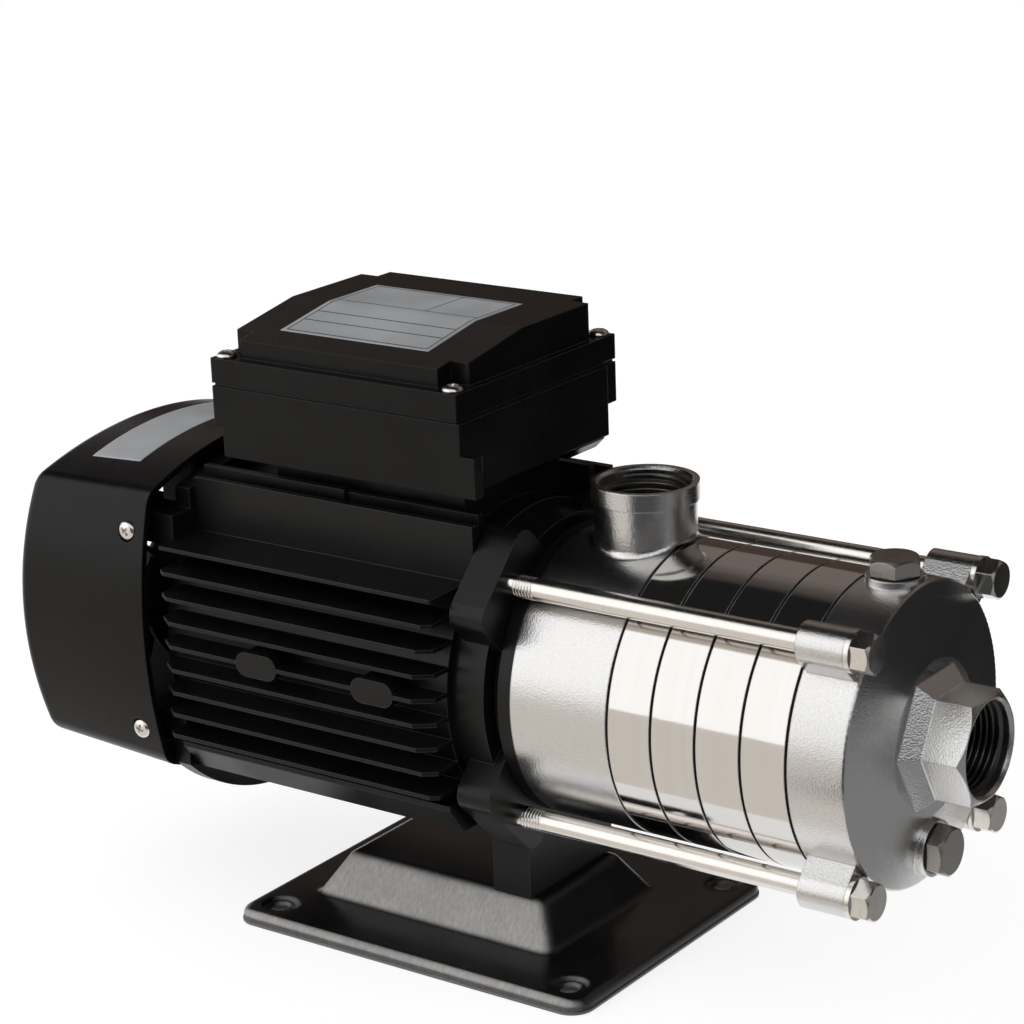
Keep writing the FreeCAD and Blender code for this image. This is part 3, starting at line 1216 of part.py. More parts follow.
def cowl_block(name, inset):
    """The closed form of the cowl: tapered, with a bulged rear, drawn smaller by an inset."""
    body = DOC.addObject("PartDesign::Body", name)
    place(body, z="shaft_height")
    far = "cowl_rear + (%s)" % inset
    loft(body, "YZ_Plane", [("cowl_front", cowl_outline(inset)),
                            ("cowl_rear", cowl_outline("cowl_draft + (%s)" % inset))])
    round_edges(body, "cowl_corner - (%s)" % inset, lambda edge: along(edge, V(1, 0, 0), 0.9))
    extrude(body, "XZ_Plane", "-2 * cowl_half", "4 * cowl_half", [[
        ("cowl_rear - cowl_round", "-cowl_rear_half"),
        (far + " + cowl_rear_sag", "-cowl_rear_half", "-cowl_rear_arc"),
        (far + " + cowl_rear_sag", "cowl_rear_half"),
        ("cowl_rear - cowl_round", "cowl_rear_half")]], cut=True)
    back = value("cowl_rear + cowl_rear_sag")
    round_edges(body, "cowl_round - (%s)" % inset,
                lambda edge: edge.BoundBox.XMax < back and not along(edge, V(1, 0, 0), 0.9))
    return body


def make_cowl_slots():
    """The six sectors of concentric air slots, as a tool for the cowl."""
    body = DOC.addObject("PartDesign::Body", "cowl_slots")
    place(body, z="shaft_height")
    slots = []
    for number in range(AIR_SLOTS):
        inner = "(grille_inner + %d * grille_pitch)" % number
        outer = "(grille_inner + %d * grille_pitch + grille_slot)" % number
        lead = 25 - 9 / (number + 1)
        near = ["%s * %s(%g)" % (inner, turn, lead) for turn in ("cos", "sin")]
        far = ["%s * %s(%g)" % (outer, turn, lead) for turn in ("cos", "sin")]
        slots.append([(near[0], "-" + near[1]), (far[0], "-" + far[1], outer),
                      (far[0], far[1]), (near[0], near[1], "-" + inner)])
    slot = extrude(body, "YZ_Plane", "cowl_rear - 1", "cowl_rear_sag", slots)
    pattern(body, slot, 6)
    return body


def make_fan_cover():
    """Cowl: bulged rounded square, tapered and hollow, with concentric air slots behind."""
    tools = [cowl_block("cowl_room", "cowl_wall"), make_cowl_slots()]
    for rise in ("shaft_height + cowl_screw_high", "shaft_height - cowl_screw_low"):
        tools.append(rod("cowl_screw_hole", "cowl_screw_radius + screw_clear", "4 * cowl_half",
                         ("cowl_screw_x", "-2 * cowl_half", rise), "y"))
        for start in ("screw_seat", "-screw_seat - cowl_half"):
            tools.append(rod("cowl_dimple", "cowl_screw_head + cowl_dimple_gap", "cowl_half",
                             ("cowl_screw_x", start, rise), "y"))
    keep("fan_cover", minus("fan_cover", cowl_block("cowl_form", "0"), fused("cowl_tools", tools)))


def make_fan_cover_screws():
    """Four pan-head screws hold the cowl on the shield's lugs."""
    screws = []
    for side, turn in (("-", AXES["y"]), ("", FreeCAD.Rotation(V(1, 0, 0), 90))):
        for rise in ("shaft_height + cowl_screw_high", "shaft_height - cowl_screw_low"):
            shank = rod("cover_screw_shank", "cowl_screw_radius", "cowl_screw_length",
                        ("cowl_screw_x", "%sscrew_seat" % side, rise), "y")
            head = rod("cover_screw_head", "cowl_screw_head", "cowl_screw_crown",
                       ("cowl_screw_x", "%sscrew_seat" % side, rise), "y")
            shank.Placement.Rotation = turn
            head.Placement.Rotation = turn.multiply(FreeCAD.Rotation(V(1, 0, 0), 180))
            screws.append(fused("cover_screw", [shank, head]))
    group("fan_cover_screws", screws)


def make_fan():
    """Radial fan with straight blades, which works in both directions."""
    body = new_body("fan")
    start = "(cowl_rear + cowl_wall + fan_place)"
    revolve(body, [
        (start, "fan_shaft_radius + fit_gap"), (start + " + fan_length", "fan_shaft_radius + fit_gap"),
        (start + " + fan_length", "fan_hub - 2"), (start + " + fan_length - fan_disc_place", "fan_hub"),
        (start + " + fan_length - fan_disc_place", "fan_disc"),
        (start + " + fan_length - fan_disc_place - fan_disc_wall", "fan_disc"),
        (start + " + fan_length - fan_disc_place - fan_disc_wall", "fan_hub"),
        (start, "fan_hub - 2")])
    blade = extrude(body, "YZ_Plane", start, "fan_length - 2", [box_outline(
        "-blade_wall / 2", "blade_wall / 2", "fan_hub - fan_blade_root", "fan_radius")])
    pattern(body, blade, FAN_BLADES)


def make_stator():
    """Laminated stack with slots, and windings whose bars lie in the slots."""
    bore = "rotor_radius + air_gap"
    body = turned("stator_core", tube_outline("stack_rear", "stack_end", bore, "housing_bore - fit_gap"))
    slot = extrude(body, "YZ_Plane", "stack_rear", "stack_length", [[
        ("-slot_width / 3", bore + " - 1"), ("slot_width / 3", bore + " - 1"),
        ("slot_width / 2", bore + " + 2"), ("slot_width / 2 + 0.8", bore + " + slot_depth"),
        ("-slot_width / 2 - 0.8", bore + " + slot_depth"), ("-slot_width / 2", bore + " + 2")]], cut=True)
    pattern(body, slot, STATOR_SLOTS)
    inner = bore + " + coil_inner"
    outer = bore + " + slot_depth + coil_outer"
    coil = turned("stator_windings", tube_outline("stack_end + 1", "stack_end + 1 + turn_length",
                                                  inner, outer))
    revolve(coil, tube_outline("stack_rear - 1 - turn_length", "stack_rear - 1", inner, outer))
    bar = extrude(coil, "YZ_Plane", "stack_rear - 2", "stack_length + 4", [box_outline(
        "-slot_width / 2 + bar_gap", "slot_width / 2 - bar_gap",
        bore + " + 3.2", bore + " + slot_depth - 0.5")])
    pattern(coil, bar, STATOR_SLOTS)


def make_rotor():
    """Rotor core, its end rings and the stepped shaft."""
    turned("rotor_core", tube_outline("stack_rear", "stack_end", "rotor_shaft_radius + fit_gap",
                                      "rotor_radius"))
    rings = []
    for start in ("stack_rear - end_ring_length", "stack_end"):
        outer = rod("end_ring_outer", "rotor_radius - 1", "end_ring_length", (start, "0", "shaft_height"))
        inner = rod("end_ring_inner", "rotor_radius - 1 - end_ring_wall", "end_ring_length",
                    (start, "0", "shaft_height"))
        rings.append(minus("end_ring", outer, inner))
    group("rotor_end_rings", rings)
    steps = [
        ("cowl_rear + cowl_wall + fan_place - 2", "fan_shaft_radius"),
        ("rear_seat - 2", "rear_bore"), ("rear_shoulder", "rotor_shaft_radius - 1"),
        ("stack_rear", "rotor_shaft_radius"), ("stack_end", "rotor_shaft_radius - 1"),
        ("front_seat", "front_bore"), ("front_shoulder", "seal_shaft_radius"),
        ("seal_stop", "wet_shaft_radius")]
    end = "suction_rear + shaft_reach"
    points = [(steps[0][0], "0"), (end, "0"), (end, "wet_shaft_radius")]
    for (start, radius), (_, behind) in zip(steps[:0:-1], steps[-2::-1]):
        points += [(start, radius), (start, behind)]
    points.append((steps[0][0], steps[0][1]))
    turned("shaft", points)


def make_wave_washer():
    """Spring washer that loads the rear bearing's outer ring."""
    turned("wave_washer", tube_outline("rear_seat - wave_wall + 0.02", "rear_seat - 0.02",
                                       "rear_outer - 4", "rear_outer - 0.1"))


def make_bearing(name, seat, width, bore, outer):
    """Deep-groove ball bearing: outer ring, inner ring, and balls in their cage."""
    middle = "%s + %s / 2" % (seat, width)
    end = "%s + %s" % (seat, width)
    reach = "(%s - %s - 2 * race_wall) / 2" % (outer, bore)
    ball = "(%s + groove_sink)" % reach
    half = "sqrt(%s ^ 2 - %s ^ 2)" % (ball, reach)
    arc = ball
    turned(name + "_outer_ring", [
        (seat, "%s - race_wall" % outer),
        ("%s - %s" % (middle, half), "%s - race_wall" % outer, "-" + arc),
        ("%s + %s" % (middle, half), "%s - race_wall" % outer), (end, "%s - race_wall" % outer),
        (end, outer), (seat, outer)])
    turned(name + "_inner_ring", [
        (seat, bore + " + fit_gap"), (end, bore + " + fit_gap"), (end, "%s + race_wall" % bore),
        ("%s + %s" % (middle, half), "%s + race_wall" % bore, "-" + arc),
        ("%s - %s" % (middle, half), "%s + race_wall" % bore), (seat, "%s + race_wall" % bore)])
    pitch = "(%s + %s) / 2" % (outer, bore)
    start = "%s - cage_width / 2" % middle
    band = [rod(name + "_cage", "%s %s cage_wall / 2" % (pitch, sign), "cage_width",
                (start, "0", "shaft_height")) for sign in "+-"]
    parts = [minus(name + "_cage_band", *band)]
    for number in range(BALLS):
        angle = 360 / BALLS * number
        parts.append(primitive("Part::Sphere", name + "_ball", {"Radius": ball + " - 0.06"}, (
            middle, "%s * sin(%g)" % (pitch, angle), "shaft_height + %s * cos(%g)" % (pitch, angle))))
    keep(name + "_balls", fused(name + "_balls", parts))


# Terminal box

def notched_outline(left, right, low, high, notch):
    """A rectangle with a square notch in each corner."""
    return [(left + " + " + notch, low), (right + " - " + notch, low),
            (right + " - " + notch, low + " + " + notch), (right, low + " + " + notch),
            (right, high + " - " + notch), (right + " - " + notch, high + " - " + notch),
            (right + " - " + notch, high), (left + " + " + notch, high),
            (left + " + " + notch, high + " - " + notch), (left, high + " - " + notch),
            (left, low + " + " + notch), (left + " + " + notch, low + " + " + notch)]


def lid_screw_spots():
    """Centres of the lid screws."""
    return [(x, "%s(box_width / 2 - lid_screw_inset)" % side)
            for x in ("lid_rear + lid_screw_inset", "lid_front - lid_screw_inset")
            for side in ("-", "")]


def lid_screw_holes(clearance):
    """Holes round the lid screws."""
    return [(x, y, "lid_screw_radius + %s" % clearance) for x, y in lid_screw_spots()]


def box_room():
    """The inside of the base in plan, with room for the lid screws in its corners."""
    return notched_outline("room_rear", "room_front", "box_wall - box_width / 2",
                           "box_width / 2 - box_wall", "screw_corner")


def cut_corner(left, right, low, high, cut):
    """A rectangle with one corner cut off, the one at the right and high end."""
    return [(left, low), (right, low), (right, "%s - %s" % (high, cut)),
            ("%s - %s" % (right, cut), high), (left, high)]


def make_box_base():
    """Box base: long upper part, deeper rear part, hollow, with the gland's and the wires' holes."""
    body = new_body("terminal_box_base")
    half = "box_width / 2"
    top = "parting - gasket_wall"
    well = ("box_rear + well_place", "box_front - box_corner", "pedestal_half + 1", half)
    floor = value("box_floor - well_drop")
    extrude(body, "XY_Plane", "box_floor - well_drop", "well_drop + 1", [box_outline(*well)])
    bevel(body, "well_bevel", lambda edge: level(edge, floor - 0.1, floor + 0.1)
          and edge.BoundBox.XMax > value("box_front - box_corner - 0.1")
          and edge.BoundBox.XLength < 1)
    extrude(body, "XY_Plane", "box_floor", top + " - box_floor", [cut_corner(
        "box_rear", "box_front", "-" + half, half, "box_corner")])
    extrude(body, "XY_Plane", "parting - flange_height", "flange_height - gasket_wall", [box_outline(
        "lid_rear", "lid_front", "-" + half, half)])
    extrude(body, "XY_Plane", "box_floor", "ear_height", [box_outline(
        "box_front - 1", "box_front + ear_length", "-" + half, "ear_width - " + half)])
    extrude(body, "XY_Plane", "box_inside", "box_height", [box_room()], cut=True)
    extrude(body, "XY_Plane", "box_inside - well_drop", "well_drop + 2", [box_outline(
        well[0] + " + box_wall", well[1] + " - box_wall - well_bevel / 2", well[2] + " + box_wall",
        well[3] + " - box_wall")], cut=True)
    extrude(body, "XY_Plane", "parting - lid_screw_bore", "lid_screw_bore",
            circles=lid_screw_holes("fit_gap"), cut=True)
    extrude(body, "XY_Plane", "box_floor", "box_wall", circles=[("box_middle", "0", "duct_radius")],
            cut=True)
    extrude(body, "XZ_Plane", "-%s - 1" % half, "box_wall + 2",
            circles=[("gland_x", "gland_rise", "gland_radius + fit_gap")], cut=True)


def make_box_gasket():
    """Flat gasket on the rim of the base."""
    body = new_body("terminal_box_gasket")
    edge = "(box_width / 2 - gasket_inset)"
    rim = box_outline("lid_rear + gasket_inset", "lid_front - gasket_inset", "-" + edge, edge)
    extrude(body, "XY_Plane", "parting - gasket_wall", "gasket_wall", [rim, box_room()],
            circles=lid_screw_holes("screw_clear"))


def make_box_lid():
    """Lid: skirt, raised crown with notched corners and a sloped front, hollow."""
    body = new_body("terminal_box_lid")
    half = "box_width / 2"
    left = "box_middle - lid_length / 2 + crown_end"
    right = "box_middle + lid_length / 2 - crown_end"
    side = "(box_width / 2 - crown_side)"
    extrude(body, "XY_Plane", "parting", "lid_skirt", [box_outline(
        "lid_rear", "lid_front", "-" + half, half)])
    extrude(body, "XY_Plane", "crown_floor", "crown_height",
            [notched_outline(left, right, "-" + side, side, "crown_notch")])
    extrude(body, "YZ_Plane", "lid_rear - 1", "lid_length + 2", [[
        ("-" + side, "crown_top - crown_slope"), ("-crown_crease", "crown_top"),
        ("-crown_crease", "crown_top + 5"), ("-%s - 5" % side, "crown_top + 5"),
        ("-%s - 5" % side, "crown_top - crown_slope")]], cut=True)
    extrude(body, "XY_Plane", "parting", "lid_skirt + crown_height - crown_slope - box_wall", [
        box_outline(left + " + crown_notch + box_wall", right + " - crown_notch - box_wall",
                    "box_wall - " + side, side + " - box_wall")], cut=True)
    extrude(body, "XY_Plane", "parting", "lid_skirt", circles=lid_screw_holes("screw_clear"), cut=True)


def make_lid_screws():
    """Four screws in the notches of the lid."""
    shank = rod("lid_screw_shank", "lid_screw_radius", "lid_skirt + lid_screw_reach",
                ("0", "0", "crown_floor - lid_skirt - lid_screw_reach"), "z")
    head = rod("lid_screw_top", "lid_screw_head", "lid_screw_crown", ("0", "0", "crown_floor"), "z")
    screw = fused("lid_screw", [shank, head])
    repeats("lid_screws", screw, [(x, y, "shaft_height") for x, y in lid_screw_spots()])


def make_box_inside():
    """Terminal block with its brass studs, and the run capacitor."""
    floor = "shaft_height + box_inside"
    left = "box_middle - strip_length / 2"
    front = "-box_width / 2 + box_wall + strip_place"
    parts = [block("strip_body", ("strip_length", "strip_width", "strip_base"),
                   (left, front, floor))]
    pitch = "(strip_length - strip_barrier) / %d" % TERMINALS
    for number in range(TERMINALS + 1):
        parts.append(block("barrier", ("strip_barrier", "strip_width", "strip_height"),
                           ("%s + %d * %s" % (left, number, pitch), front, floor)))
    keep("terminal_block", fused("terminal_block", parts))
    studs = []
    for number in range(TERMINALS):
        x = "%s + strip_barrier / 2 + %g * %s" % (left, number + 0.5, pitch)
        y = front + " + strip_width / 2"
        studs.append(hexagon("terminal_stud", "stud_across", "stud_tall",
                             (x, y, floor + " + strip_base"), "z"))
    group("terminal_studs", studs)
    end = "box_rear + box_wall + cap_place"
    height = floor + " + cap_radius"
    can = rod("capacitor_can", "cap_radius", "cap_length", (end, "cap_y", height))
    nose = rod("capacitor_nose", "cap_radius * 0.8", "cap_length + cap_nose", (end, "cap_y", height))
    keep("capacitor", fused("capacitor", [can, nose]))


def make_gland():
    """Cable gland in the rear wall of the box, and its nut inside."""
    def at(y):
        return ("gland_x", y, "shaft_height + gland_rise")
    wall = "box_width / 2"
    inside = wall + " - box_wall - gland_thread"
    neck = wall + " + gland_collar"
    thread = rod("thread", "gland_radius", "box_wall + gland_thread", at(inside), "y")
    collar = hexagon("collar", "gland_flats", "gland_collar", at(wall), "y")
    barrel = rod("barrel", "gland_flats * 0.44", "gland_barrel", at(neck), "y")
    cap = hexagon("cap", "gland_flats - 1", "gland_cap", at(neck + " + gland_neck"), "y")
    length = "box_wall + gland_thread + gland_collar + gland_neck + gland_cap"
    hole = rod("gland_hole", "gland_bore", length + " + 2", at(inside + " - 1"), "y")
    keep("cable_gland", minus("cable_gland", fused("gland_blank", [thread, collar, barrel, cap]), hole))
    seat = at(wall + " - box_wall - gland_nut_height")
    nut = hexagon("gland_nut_blank", "gland_flats", "gland_nut_height", seat, "y")
    tap = rod("gland_nut_hole", "gland_radius + fit_gap", "gland_nut_height", seat, "y")
    keep("gland_nut", minus("gland_nut", nut, tap))


# Run

def check_all():
    """Stops if an object failed or a sub-part has no valid shape."""
    failed = [thing.Name for thing in DOC.Objects
              if "Invalid" in thing.State or "Error" in thing.State]
    broken = [name for name, thing in PIECES.items()
              if thing.Shape.isNull() or not thing.Shape.isValid() or not thing.Shape.Solids]
    if failed or broken:
        raise RuntimeError("failed: %s, no valid shape: %s" % (failed, broken))


def write_all():
    """Writes each sub-part to its own file."""
    os.makedirs("parts", exist_ok=True)
    for name, thing in PIECES.items():
        thing.Shape.exportStep("parts/%s.step" % name)


fill_sheet()
make_base_plate()
make_foot_bolts()
make_bracket()
make_tie_bolts()
make_discharge_casing()
for stage in range(1, STAGES + 1):
    make_stage_ring(stage)
make_casing_seals()
make_suction_casing()
make_plugs()
for stage in range(1, STAGES + 1):
    make_impeller(stage)
    make_diffuser(stage)
make_inlet_plate()
make_shaft_sleeves()
make_impeller_nut()
make_seal()
make_motor_housing()
make_rear_end_shield()
make_motor_studs()
make_fan_cover()
make_fan_cover_screws()
make_fan()
make_stator()
make_rotor()
make_bearing("front_bearing", "front_seat", "front_width", "front_bore", "front_outer")
make_bearing("rear_bearing", "rear_seat", "rear_width", "rear_bore", "rear_outer")
make_wave_washer()
make_box_base()
make_box_gasket()
make_box_lid()
make_lid_screws()
make_box_inside()
make_gland()
DOC.recompute()
check_all()
write_all()
print("%d sub-parts written" % len(PIECES))
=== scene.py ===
# %% [markdown]
# # Dressing a water booster pump
# The pump comes from CAD as finished solids: a black finned motor, a stack of polished stage rings,
# two cast end casings and a pressed base plate. Nothing here moves or resizes them. This lesson
# gives every solid its finish, adds the small things that a machinist or printer would add
# (threads, screw recesses, plain labels), and lights it all like a product photograph.

# %% Load the frame
import json
import math
import bmesh
import bpy
from mathutils import Matrix, Vector
from mathutils.bvhtree import BVHTree


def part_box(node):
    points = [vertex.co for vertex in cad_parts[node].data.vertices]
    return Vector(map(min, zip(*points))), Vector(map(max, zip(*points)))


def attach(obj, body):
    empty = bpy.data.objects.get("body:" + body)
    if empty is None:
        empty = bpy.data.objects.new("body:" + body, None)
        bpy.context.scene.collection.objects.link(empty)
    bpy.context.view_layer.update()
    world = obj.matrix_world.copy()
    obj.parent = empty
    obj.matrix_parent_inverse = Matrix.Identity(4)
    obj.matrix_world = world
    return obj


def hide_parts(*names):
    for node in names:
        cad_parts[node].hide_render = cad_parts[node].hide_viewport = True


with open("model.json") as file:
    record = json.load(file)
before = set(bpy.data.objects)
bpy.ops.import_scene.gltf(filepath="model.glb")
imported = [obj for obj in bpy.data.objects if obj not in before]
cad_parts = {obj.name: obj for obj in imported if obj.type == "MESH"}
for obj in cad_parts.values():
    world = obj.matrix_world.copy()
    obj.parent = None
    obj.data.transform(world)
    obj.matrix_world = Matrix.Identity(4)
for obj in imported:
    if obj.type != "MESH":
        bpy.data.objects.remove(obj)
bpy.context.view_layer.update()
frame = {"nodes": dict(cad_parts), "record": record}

nodes = frame["nodes"]
mounts = {mount["name"]: mount for mount in frame["record"]["mounts"]}
slot_of_node = {part["node"]: part["material_slot"] for part in frame["record"]["subparts"]}
MM = 0.001

# %% [markdown]
# ## Small helpers for shader nodes
# A finish in Blender is a tree of nodes. A few helpers keep the trees readable: one adds a node and
# fills its sockets by name, one does a sum, one mixes two colours, and one stretches a range of
# values to another. A socket takes either a plain value or the output of another node, so the same
# call serves both.

# %% Node helpers
def feed(tree, socket, value):
    """Links the socket to a node's output, or sets it to a plain value."""
    if isinstance(value, bpy.types.NodeSocket):
        tree.links.new(value, socket)
    else:
        socket.default_value = value


def put(tree, kind, options=None, **inputs):
    """Adds a node. options are its own settings and inputs its sockets by name."""
    node = tree.nodes.new("ShaderNode" + kind)
    for option, value in (options or {}).items():
        setattr(node, option, value)
    for name, value in inputs.items():
        feed(tree, node.inputs[name.replace("_", " ")], value)
    return node


def calc(tree, operation, *values):
    """The result of one sum, such as MULTIPLY or MAXIMUM."""
    node = put(tree, "Math", {"operation": operation})
    for socket, value in zip(node.inputs, values):
        feed(tree, socket, value)
    return node.outputs[0]


def mix_colours(tree, factor, first, second):
    """The first colour where factor is 0 and the second where it is 1."""
    node = put(tree, "Mix", {"data_type": "RGBA"})
    for index, value in ((0, factor), (6, first), (7, second)):
        feed(tree, node.inputs[index], value)
    return node.outputs[2]


def spread(tree, value, low, high, start=0.0, end=1.0):
    """Maps start..end to low..high and holds it there."""
    ranges = {"From_Min": start, "From_Max": end, "To_Min": low, "To_Max": high}
    return put(tree, "MapRange", Value=value, **ranges).outputs["Result"]


def grey(shade, warm=0.0):
    """An opaque colour of that brightness, a little warmer where warm is above 0."""
    return (shade * (1 + warm), shade, shade * (1 - warm), 1.0)


print("node helpers ready")

# %% [markdown]
# ## Effects that many finishes share
# Real surfaces differ in colour and gloss from place to place, and their edges are never knife
# sharp. Each such effect could be built again in every material, but then a mend has to be made
# many times. So each is a node group with named inputs, built once and used with other numbers.
# The groups put out only values and normals, and the shader stays in the material.

# %% Group maker
def new_group(name, inputs, outputs):
    """An empty node group with number inputs, as {name: value}, and outputs, as {name: type}."""
    group = bpy.data.node_groups.new(name, "ShaderNodeTree")
    for title, value in inputs.items():
        socket = group.interface.new_socket(
            name=title, in_out="INPUT", socket_type="NodeSocketFloat")
        socket.default_value = value
    for title, kind in outputs.items():
        group.interface.new_socket(name=title, in_out="OUTPUT", socket_type="NodeSocket" + kind)
    given = group.nodes.new("NodeGroupInput").outputs
    wanted = group.nodes.new("NodeGroupOutput").inputs
    return group, given, wanted


def use_group(tree, name, **inputs):
    """Places a group in a material and returns its outputs."""
    node = tree.nodes.new("ShaderNodeGroup")
    node.node_tree = bpy.data.node_groups[name]
    for title, value in inputs.items():
        feed(tree, node.inputs[title.replace("_", " ")], value)
    return node.outputs


# %% [markdown]
# Cast, sprayed and moulded skins are never quite smooth: under a lens there is a grain of some
# tenths of a millimetre, and over the palm of a hand the gloss drifts in soft patches. Two noise
# textures give both. They read object coordinates, which are the part's own metres, so a grain size
# can be typed as it would be measured.

# %% Surface grain
def make_grain():
    """Fine bumps of one size and soft patches of a larger one, in the part's own metres."""
    group, given, wanted = new_group(
        "surface_grain",
        {"Grain Size": 0.0005, "Patch Size": 0.02},
        {"Height": "Float", "Patches": "Float"},
    )
    place = put(group, "TexCoord").outputs["Object"]
    grain_scale = calc(group, "DIVIDE", 1.0, given["Grain Size"])
    patch_scale = calc(group, "DIVIDE", 1.0, given["Patch Size"])
    fine = put(group, "TexNoise", Vector=place, Scale=grain_scale, Detail=2.0, Roughness=0.6)
    broad = put(group, "TexNoise", Vector=place, Scale=patch_scale, Detail=4.0, Roughness=0.55)
    group.links.new(fine.outputs["Fac"], wanted["Height"])
    group.links.new(spread(group, broad.outputs["Fac"], 0.0, 1.0, 0.35, 0.65), wanted["Patches"])


make_grain()
print("surface_grain ready")

# %% [markdown]
# CAD edges are perfectly sharp, and a perfectly sharp edge catches no light. Rounding them in the
# mesh would change the part, so the Bevel node bends only the normal near an edge. Where the bent
# normal and the true one differ most there is an edge, and that gives a mask for wear as well.

# %% Soft edges
def make_soft_edge():
    """Rounds the normal within a radius of each edge, and marks where the edges are."""
    group, given, wanted = new_group(
        "soft_edge", {"Radius": 0.0005}, {"Normal": "Vector", "Edge": "Float"}
    )
    rounded = put(group, "Bevel", {"samples": 4}, Radius=given["Radius"]).outputs["Normal"]
    own = put(group, "NewGeometry").outputs["Normal"]
    likeness = put(group, "VectorMath", {"operation": "DOT_PRODUCT"})
    feed(group, likeness.inputs[0], rounded)
    feed(group, likeness.inputs[1], own)
    edge = spread(group, likeness.outputs["Value"], 1.0, 0.0, 0.8, 0.995)
    group.links.new(rounded, wanted["Normal"])
    group.links.new(edge, wanted["Edge"])


make_soft_edge()
print("soft_edge ready")

# %% [markdown]
# A lathe tool and a polishing belt leave fine lines that run round the shaft. Noise that is
# squeezed along X and stretched in Y and Z gives such lines, and unlike a picture of scratches it
# never repeats.

# %% Lines round the shaft
def make_lines():
    """Fine lines that run round the shaft, as a polishing belt or a lathe leaves them."""
    group, given, wanted = new_group(
        "polish_lines", {"Spacing": 0.0008, "Run": 0.05}, {"Lines": "Float"}
    )
    place = put(group, "SeparateXYZ", Vector=put(group, "TexCoord").outputs["Object"]).outputs
    across = calc(group, "DIVIDE", place["X"], given["Spacing"])
    around = calc(group, "DIVIDE", place["Y"], given["Run"])
    upward = calc(group, "DIVIDE", place["Z"], given["Run"])
    stretched = put(group, "CombineXYZ", X=across, Y=around, Z=upward).outputs["Vector"]
    noise = put(group, "TexNoise", Vector=stretched, Scale=1.0, Detail=3.0, Roughness=0.65)
    group.links.new(spread(group, noise.outputs["Fac"], 0.0, 1.0, 0.3, 0.7), wanted["Lines"])


make_lines()
print("polish_lines ready")

# %% [markdown]
# A pump on a shelf gathers a little dust, and dust lies only on what faces up. So the film is a
# cloudy noise multiplied by how far the surface faces upward.

# %% Settled dust
def make_dust():
    """A thin film that lies on what faces up, broken into patches."""
    group, given, wanted = new_group("settled_dust", {"Amount": 0.1}, {"Dust": "Float"})
    normal = put(group, "NewGeometry").outputs["Normal"]
    up = put(group, "SeparateXYZ", Vector=normal).outputs["Z"]
    level = spread(group, up, 0.0, 1.0, 0.5, 1.0)
    place = put(group, "TexCoord").outputs["Object"]
    cloud = put(group, "TexNoise", Vector=place, Scale=90.0, Detail=5.0, Roughness=0.65)
    patchy = spread(group, cloud.outputs["Fac"], 0.0, 1.0, 0.4, 0.7)
    film = calc(group, "MULTIPLY", level, patchy)
    group.links.new(calc(group, "MULTIPLY", film, given["Amount"]), wanted["Dust"])


make_dust()
print("settled_dust ready")

# %% [markdown]
# ## The black finishes
# The motor's castings are sprayed satin black over a slightly rough skin. The fan cowl and the
# terminal box are moulded, so they are smoother. Black still needs work: what the eye reads is the
# gloss, so the roughness wanders, the edges catch a thin line of light, and dust greys the tops.

# %% Start a finish
finishes = {}  # material slot: material


def start_finish(slot, **values):
    """A new material for a slot. The values are the plain ones of its shader."""
    material = bpy.data.materials.new("finish_" + slot)
    material.use_nodes = True
    finishes[slot] = material
    shader = material.node_tree.nodes["Principled BSDF"]
    for name, value in values.items():
        shader.inputs[name.replace("_", " ")].default_value = value
    return material.node_tree, shader.inputs


def bumped(tree, height, depth, normal=None):
    """The normal of a surface that rises by depth metres where height is 1."""
    bump = put(tree, "Bump", Height=height, Distance=depth)
    if normal is not None:
        tree.links.new(normal, bump.inputs["Normal"])
    return bump.outputs["Normal"]


# %% Painted castings and black mouldings
def black_finish(slot, shade, gloss, grain, depth, edge=0.0005, rub=0.3, dust=0.015, specular=0.3):
    """Black paint or moulding. gloss is the least and the most roughness, rub how grey the edges
    wear.
    """
    tree, sockets = start_finish(slot, Metallic=0.0, IOR=1.45, Specular_IOR_Level=specular)
    skin = use_group(tree, "surface_grain", Grain_Size=grain, Patch_Size=0.035)
    soft = use_group(tree, "soft_edge", Radius=edge)
    film = use_group(tree, "settled_dust", Amount=dust)["Dust"]
    body = mix_colours(tree, skin["Patches"], grey(shade * 0.8), grey(shade * 1.2))
    rubbed = mix_colours(tree, calc(tree, "MULTIPLY", soft["Edge"], rub), body, grey(0.1))
    feed(tree, sockets["Base Color"], mix_colours(tree, film, rubbed, grey(0.2, 0.05)))
    matt = spread(tree, skin["Patches"], *gloss)
    smoother = spread(tree, soft["Edge"], 1.0, 0.6)
    feed(tree, sockets["Roughness"], calc(tree, "MULTIPLY", matt, smoother))
    feed(tree, sockets["Normal"], bumped(tree, skin["Height"], depth, soft["Normal"]))


PAINT_DEPTH = 0.00004
MOULD_DEPTH = 0.00001
black_finish("cast_paint", 0.005, (0.3, 0.42), 0.0009, PAINT_DEPTH, rub=0.5)
black_finish("cowl_plastic", 0.004, (0.24, 0.32), 0.0004, MOULD_DEPTH, edge=0.0008, specular=0.22)
black_finish("box_plastic", 0.005, (0.22, 0.32), 0.0005, MOULD_DEPTH,
             edge=0.0007, rub=0.2, specular=0.2)
black_finish("fan_plastic", 0.02, (0.4, 0.5), 0.0006, MOULD_DEPTH)
black_finish("gland_plastic", 0.02, (0.4, 0.5), 0.0006, MOULD_DEPTH)
black_finish("wet_plastic", 0.03, (0.3, 0.42), 0.0006, MOULD_DEPTH)
black_finish("seal_rubber", 0.015, (0.55, 0.7), 0.0005, MOULD_DEPTH)
print("black finishes:", sorted(finishes))
